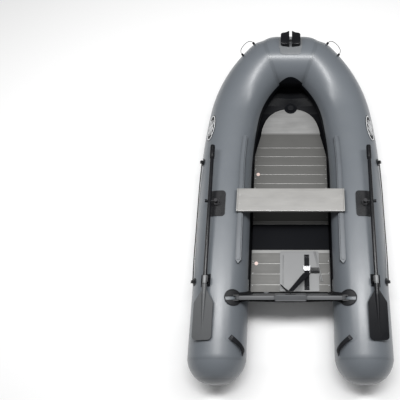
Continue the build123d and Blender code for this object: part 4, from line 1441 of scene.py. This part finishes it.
@dataclass
class Straps:
    """The grab straps by the stern, with their stitching and end patches."""

    shape: TubeShape
    finishes: Finishes
    fore: tuple[float, float] = (0.318, -30.0)
    aft: tuple[float, float] = (0.205, -66.0)
    half: float = 0.019
    rise: float = 0.03

    def middle(self, share: float) -> Vector:
        """A point of the strap's middle line, at a share of its run."""
        forward = self.fore[0] + (self.aft[0] - self.fore[0]) * share
        angle = self.fore[1] + (self.aft[1] - self.fore[1]) * share
        lift = 0.0046 + (self.rise - 0.0046) * math.sin(math.pi * min(max(share, 0.0), 1.0)) ** 0.8
        return self.shape.flank(forward, angle, lift)

    def on_strap(self, x: float, y: float, z: float) -> Vector:
        """The place of a flat strap's point, with X along it and Y across it, from -1 to 1."""
        share = (x + 1) / 2
        here = self.middle(share)
        run = (self.middle(min(share + 0.01, 1)) - self.middle(max(share - 0.01, 0))).normalized()
        out = Vector((here.x - self.shape.axis_x, 0, here.z - self.shape.radius)).normalized()
        across = run.cross(out).normalized()
        pinch = 1 - 0.18 * math.sin(math.pi * share)
        return here + across * (y * self.half * pinch) + out * z

    def strap(self) -> Piece:
        """The starboard strap: an arched band with a rolled middle."""
        return round_off(sheet("starboard_grab_strap", (40, 6), self.on_strap, 0.003), 0.0008, 2)

    def build(self) -> None:
        """Makes and dresses the straps, with a box of stitches at each end."""
        f = self.finishes
        shares = (0.03, 0.06, 0.09, 0.91, 0.94, 0.97)
        places = [self.on_strap(share * 2 - 1, y, 0.0021)
                  for share in shares for y in (-0.75, -0.45, -0.15, 0.15, 0.45, 0.75)]
        marks = stitches("starboard_strap_stitches", places, 0.0011, (1.0, 1.6, 0.6))
        dress_pair(self.strap(), f.web, stands_for=["handle_straps"])
        dress_pair(marks, f.thread)
        dress_node(f.tube, "handle_patches")


@dataclass
class Badges:
    """Plain oval badges on the tubes' outer flanks: a dark oval, a pale ring and plain waves."""

    shape: TubeShape
    finishes: Finishes
    forward: float = 2.032
    outboard: float = 47.0
    half_long: float = 0.118
    half_wide: float = 0.052
    plate_lift: float = 0.0026
    mark_lift: float = 0.0034

    def on_flank(self, x: float, y: float, z: float) -> Vector:
        """The place on the starboard flank of a flat badge's point, in metres from its middle."""
        return self.shape.flank(self.forward + y, self.outboard + math.degrees(x / self.shape.radius), z)

    def oval(self) -> Piece:
        """The starboard oval, which follows the flank."""

        def disc(u: float, v: float, w: float) -> Vector:
            """The place of a square grid's point, with its corners drawn in to an oval."""
            across = u * math.sqrt(1 - v * v / 2) * self.half_wide
            along = v * math.sqrt(1 - u * u / 2) * self.half_long
            return self.on_flank(across, along, self.plate_lift)

        return lay(panel("starboard_badge_plate", 24, 32), disc)

    def ring(self) -> Piece:
        """The pale ring inside the oval's edge."""

        def rim(u: float, v: float, w: float) -> Vector:
            """A point of the ring, with U round it and V across it."""
            inset = 0.009 + 0.003 * v
            across = (self.half_wide - inset) * math.cos(math.pi * u)
            along = (self.half_long - inset) * math.sin(math.pi * u)
            return self.on_flank(across, along, self.mark_lift)

        ring = lay(panel("starboard_badge_ring", 96, 2), rim)
        with Editing(ring):
            bpy.ops.mesh.select_all(action="SELECT")
            bpy.ops.mesh.remove_doubles(threshold=0.0002)
        return ring

    def waves(self) -> Piece:
        """Three plain waves along the oval's middle."""
        parts = []
        for row in (-0.014, 0.004, 0.022):
            def wave(x: float, y: float, z: float, row: float = row) -> Vector:
                """A point of a flat wave, placed on the flank."""
                run = y * 0.07
                across = row - 0.004 + 0.005 * math.sin(run * 130) + x * 0.0042 * (1 - 0.6 * y * y)
                return self.on_flank(across, run, self.mark_lift)

            parts.append(lay(panel("wave", 3, 48), wave))
        return join(parts, "starboard_badge_waves")

    def build(self) -> None:
        """Makes and dresses the badges."""
        f = self.finishes
        for piece, finish in ((self.oval(), f.black), (self.ring(), f.badge), (self.waves(), f.badge)):
            dress_pair(seal(modify(piece, "SOLIDIFY", thickness=0.0008, offset=-1.0)), finish)


# --- Bow and tank gear ---------------------------------------------------------------------------


@dataclass
class Fairlead:
    """The bow fairlead's two horns, on its patch."""

    shape: TubeShape
    finishes: Finishes
    slot_half: float = 0.011
    foot: float = 0.592
    shoulder: float = 0.62
    patch_lift: float = 0.0032
    apron_lift: float = 0.0042
    apron_half: float = 0.091
    apron_corner: float = 0.02

    def horn(self) -> Piece:
        """The starboard horn: a rounded wing with a dished top and a flared lip by the slot."""
        low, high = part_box("bow_fairlead")
        slot = self.slot_half
        horn = slab("starboard_horn", (slot, low.y, self.foot), (high.x, high.y, high.z))
        with Editing(horn):
            bpy.ops.mesh.select_all(action="SELECT")
            bpy.ops.mesh.subdivide(number_cuts=11)
        middle = (low.y + high.y) / 2
        for vertex in horn.data.vertices:
            p = vertex.co
            out = (p.x - slot) / (high.x - slot)
            along = (p.y - middle) / (high.y - middle)
            waist = 1 - 0.07 * math.sin(math.pi * out) ** 2 - 0.3 * max(0.0, out) ** 5
            p.y = middle + (p.y - middle) * waist
            if p.z > self.shoulder:
                share = (p.z - self.shoulder) / (high.z - self.shoulder)
                p.z -= share * (0.016 * out**3 + 0.012 * along**2 + 0.012 * math.sin(math.pi * out))
        horn = round_off(horn, 0.006, 3)
        axis_z = self.shape.radius + self.shape.bow_rise
        start, end = (Vector((x, self.shape.bow_y, axis_z)) for x in (-0.2, 0.2))
        saddle = drum("saddle", start, end, self.shape.radius + self.patch_lift, 128)
        modify(horn, "BOOLEAN", operation="DIFFERENCE", object=saddle, solver="EXACT")
        bpy.data.objects.remove(saddle)
        return horn

    def apron(self) -> Piece:
        """The glossy patch that shows aft of the horns, glued over the bow tube's crest."""
        s = self.shape
        low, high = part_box("bow_fairlead")
        centre = s.mitre[0]
        reach = s.radius + self.apron_lift
        front = math.asin((high.y - centre.y - 0.01) / reach)
        back = math.asin(max(-1.0, (low.y - centre.y - 0.062) / reach))

        def on_tube(u: float, v: float, w: float) -> Vector:
            """The place on the bow tube of a flat patch's point."""
            corner = max(0.0, abs(v) - 0.6) / 0.4
            half = self.apron_half - self.apron_corner * (1 - math.sqrt(1 - corner**2))
            angle = back + (front - back) * (v + 1) / 2
            return Vector((u * half, centre.y + reach * math.sin(angle), centre.z + reach * math.cos(angle)))

        return seal(sheet("bow_apron", (12, 40), on_tube, 0.0016))

    def build(self) -> None:
        """Makes and dresses the fairlead."""
        f = self.finishes
        dress_pair(self.horn(), f.black, stands_for=["bow_fairlead"])
        dress(self.apron(), f.patch)
        dress_node(f.patch, "bow_patch")
        dress_node(f.pale, "fairlead_roller")
        dress_node(f.steel, "fairlead_pin")


@dataclass
class TankGear:
    """The tank tray's pressed ribs, the webbing straps and the buckle."""

    shape: TubeShape
    finishes: Finishes
    strap_x: float = 0.13
    strap_half: float = 0.02

    @property
    def top(self) -> float:
        """The height of the tray's top."""
        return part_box("tank_tray")[1].z

    def ribs(self) -> Piece:
        """The ribs pressed into the tray."""
        y = self.shape.y
        floor = self.top - 0.002
        ribs = []
        lines = (((0.19, 1.03), (0.244, 0.78)), ((0.2, 1.03), (0.256, 0.78)), ((-0.06, 1.0), (-0.06, 0.74)))
        for start, end in lines:
            rib = slab("rib", (-1, 0, floor), (1, 1, floor + 0.0035))

            def lean(x: float, along: float, z: float, a: tuple = start, b: tuple = end) -> Vector:
                """A point of the rib, between its two ends."""
                middle = a[0] + (b[0] - a[0]) * along
                return Vector((middle + x * 0.004, y(a[1] + (b[1] - a[1]) * along), z))

            ribs.append(round_off(lay(rib, lean), 0.0015, 3))
        return join(ribs, "tray_ribs")

    def strap(self) -> Piece:
        """The hold-down strap, pressed on the tray and rising a little at its ends."""
        middle, top = self.shape.y(0.857), self.top + 0.0018

        def run(u: float, v: float, w: float) -> Vector:
            """A point of the strap, with U across it and V along it."""
            half = self.strap_half * (1 - 0.03 * math.sin(v * 9) ** 2)
            rise = 0.0009 * math.sin(v * 14) ** 2
            return Vector((self.strap_x + u * half, middle + v * 0.145, top + rise + w))

        return round_off(sheet("hold_down_strap", (4, 60), run, 0.0018), 0.0005, 2)

    def keeper(self) -> Piece:
        """The moulded block that keeps the strap's tail, with a ribbed thumb place."""
        y, top = self.shape.y, self.top
        near = self.strap_x + 0.029
        keeper = slab("strap_keeper", (near, y(0.848), top + 0.0004), (near + 0.072, y(0.892), top + 0.0164))
        keeper = round_off(recess(keeper, UP, (0.008, -0.003)), 0.003, 3)
        places = [Vector((near + 0.016 + step * 0.01, y(0.858), top + 0.0124)) for step in range(5)]
        bar = slab("thumb_bar", places[0], places[0] + Vector((0.004, 0.024, 0.003)))
        return join([keeper, repeat(round_off(bar, 0.001, 2), "thumb_bars", places)], "strap_keeper")

    def stay(self, at: Surface) -> Piece:
        """The stay from the tray up to the transom's eye, narrowing upwards.

        Args:
            at: Gives a place in the transom's own directions.

        Returns:
            The stay.
        """
        foot = Vector((self.strap_x, self.shape.y(0.847), self.top + 0.0065))
        head = at(0.0, 0.252, -0.032)

        def run(u: float, v: float, w: float) -> Vector:
            """A point of the stay, with V from foot to head."""
            share = (v + 1) / 2
            half = 0.03 - 0.01 * share
            place = foot.lerp(head, share)
            dish = 0.0012 * (1 - u * u)
            return place + Vector((u * half, 0, dish + w))

        return round_off(sheet("stay_strap", (8, 40), run, 0.0024, 1.0), 0.0008, 2)

    def wedge(self, at: Surface) -> Piece:
        """The stay's second, narrow leg, from the transom's eye down to the tray.

        Args:
            at: Gives a place in the transom's own directions.

        Returns:
            The leg.
        """
        foot = Vector((-0.079, self.shape.y(0.75), 0.16))
        head = at(-0.02, 0.24, -0.03)

        def run(u: float, v: float, w: float) -> Vector:
            """A point of the leg, with V from foot to head."""
            share = (v + 1) / 2
            place = foot.lerp(head, share)
            sag = 0.012 * math.sin(math.pi * share)
            return place + Vector((u * (0.004 + 0.009 * share), 0, w - sag))

        return sheet("stay_tail", (4, 24), run, 0.002, 1.0)

    def strap_stitches(self) -> Piece:
        """Rows of stitches across the hold-down strap's ends."""
        places = [Vector((self.strap_x - 0.0155 + step * 0.0062, self.shape.y(forward), self.top + 0.0038))
                  for forward in (0.725, 0.735, 0.975, 0.985) for step in range(6)]
        return stitches("strap_stitches", places, 0.001, (1.9, 1.0, 0.6))

    def build(self, transom: Transom) -> None:
        """Makes and dresses the tank gear."""
        f = self.finishes
        dress(self.ribs(), f.tray)
        dress(self.strap(), f.web, stands_for=["tank_straps"])
        dress(self.keeper(), f.black, stands_for=["tank_straps"])
        dress(self.stay(transom.at), f.web, stands_for=["tank_straps"])
        dress(self.wedge(transom.at), f.web)
        dress(self.strap_stitches(), f.thread)
        dress_node(f.tray, "tank_tray")
        dress_node(f.steel, "strap_buckle", "buckle_lever")
        dress_node(f.black, "strap_eye")


@dataclass
class Valves:
    """The valves' finger ridges."""

    finishes: Finishes
    rim: float = 0.0268
    rim_up: float = 0.0169
    ridge: float = 0.0016
    ridge_count: int = 20

    def ridges(self, name: str, centre: Vector, axis: Vector) -> Piece:
        """A ring of finger ridges round a valve cap.

        Args:
            name: The ring's name.
            centre: The middle of the cap's rim.
            axis: The valve's axis.

        Returns:
            The ring.
        """
        side = axis.orthogonal().normalized()
        other = axis.cross(side)
        angles = [2 * math.pi * i / self.ridge_count for i in range(self.ridge_count)]
        places = [centre + (side * math.cos(angle) + other * math.sin(angle)) * self.rim for angle in angles]
        half = axis * self.ridge
        ridge = drum("ridge", places[0] - half, places[0] + half, self.ridge, 10)
        return repeat(ridge, name, places)

    def build(self) -> None:
        """Makes and dresses the valves."""
        f = self.finishes
        for name in ("keel_valve", "starboard_valve", "port_valve"):
            joint = next(j for j in frame["joints"] if j["child"] == f"{name}_cap")
            place, axis = Vector(joint["pos_m"]), Vector(joint["axis"]).normalized()
            ridges = self.ridges(f"{name}_ridges", place + axis * self.rim_up, axis)
            dress(ridges, f.base, f"{name}_cap")
            dress_node(f.black, f"{name}_body")
            dress_node(f.base, f"{name}_cap")
            dress_node(f.pale, f"{name}_plunger")


# --- Studio --------------------------------------------------------------------------------------


@dataclass
class Studio:
    """The camera, the pale floor and the soft lights."""

    camera_place: tuple[float, float, float] = (0.0, -1.5902, 3.928)
    camera_tilt: float = math.radians(21.78)
    lens: float = 43.65
    shift: tuple[float, float] = (-0.2265, 0.025)
    lamp_place: tuple[float, float, float] = (1.25, 0.2, 5.0)
    lamp_size: tuple[float, float] = (0.7, 5.5)
    lamp_power: float = 185
    sky_power: float = 0.26

    def camera(self) -> None:
        """Adds the camera."""
        data = bpy.data.cameras.new("camera")
        data.lens = self.lens
        data.shift_x, data.shift_y = self.shift
        camera = bpy.data.objects.new("camera", data)
        camera.location = self.camera_place
        camera.rotation_euler = (self.camera_tilt, 0, 0)
        bpy.context.scene.collection.objects.link(camera)
        bpy.context.scene.camera = camera

    def lamp(self, name: str, place: Sequence[float], size: Sequence[float], power: float) -> None:
        """Adds a soft lamp that faces the boat.

        Args:
            name: The lamp's name.
            place: Where it is.
            size: Its two sides.
            power: Its power in watts.
        """
        data = bpy.data.lights.new(name, "AREA")
        data.shape = "RECTANGLE"
        data.size, data.size_y = size
        data.energy = power
        lamp = bpy.data.objects.new(name, data)
        lamp.location = place
        lamp.rotation_euler = (Vector((0, 0, 0.2)) - Vector(place)).to_track_quat("-Z", "Y").to_euler()
        bpy.context.scene.collection.objects.link(lamp)

    def build(self) -> None:
        """Adds the camera, floor, lamps and sky."""
        self.camera()
        bpy.ops.mesh.primitive_plane_add(size=60, location=(0, 0, 0))
        floor = bpy.context.object
        floor.name = "studio_floor"
        paint = Paint("studio_floor")
        floor.data.materials.append(paint.done((0.9, 0.9, 0.9), 0.9))
        floor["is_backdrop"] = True
        x, y, z = self.lamp_place
        for side in Side:
            self.lamp(f"{side.label}_lamp", (side.value * x, y, z), self.lamp_size, self.lamp_power)
        world = bpy.data.worlds.new("sky")
        world.use_nodes = True
        background = world.node_tree.nodes["Background"]
        background.inputs[0].default_value = (1, 1, 1, 1)
        background.inputs[1].default_value = self.sky_power
        bpy.context.scene.world = world
        bpy.context.scene.view_settings.view_transform = "Standard"


def corners() -> list[list[float]]:
    """The object's box as plain lists."""
    return [[float(part) for part in corner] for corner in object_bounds()]


def main() -> None:
    """Builds the boat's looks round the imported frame."""
    logging.basicConfig(level=logging.INFO, format="%(name)s: %(message)s")
    cad_box = corners()
    shape = TubeShape(stern=cad_box[0][1])
    finishes = Finishes()
    Studio().build()
    Lines(shape, finishes).build()
    TubeSkins(shape, finishes).build()
    Floor(shape, finishes).build()
    BenchSeat(finishes).build()
    transom = Transom(shape, finishes)
    transom.build()
    Rowing(shape, finishes).build()
    Straps(shape, finishes).build()
    Badges(shape, finishes).build()
    Fairlead(shape, finishes).build()
    TankGear(shape, finishes).build(transom)
    Valves(finishes).build()


if __name__ == "__main__":
    main()
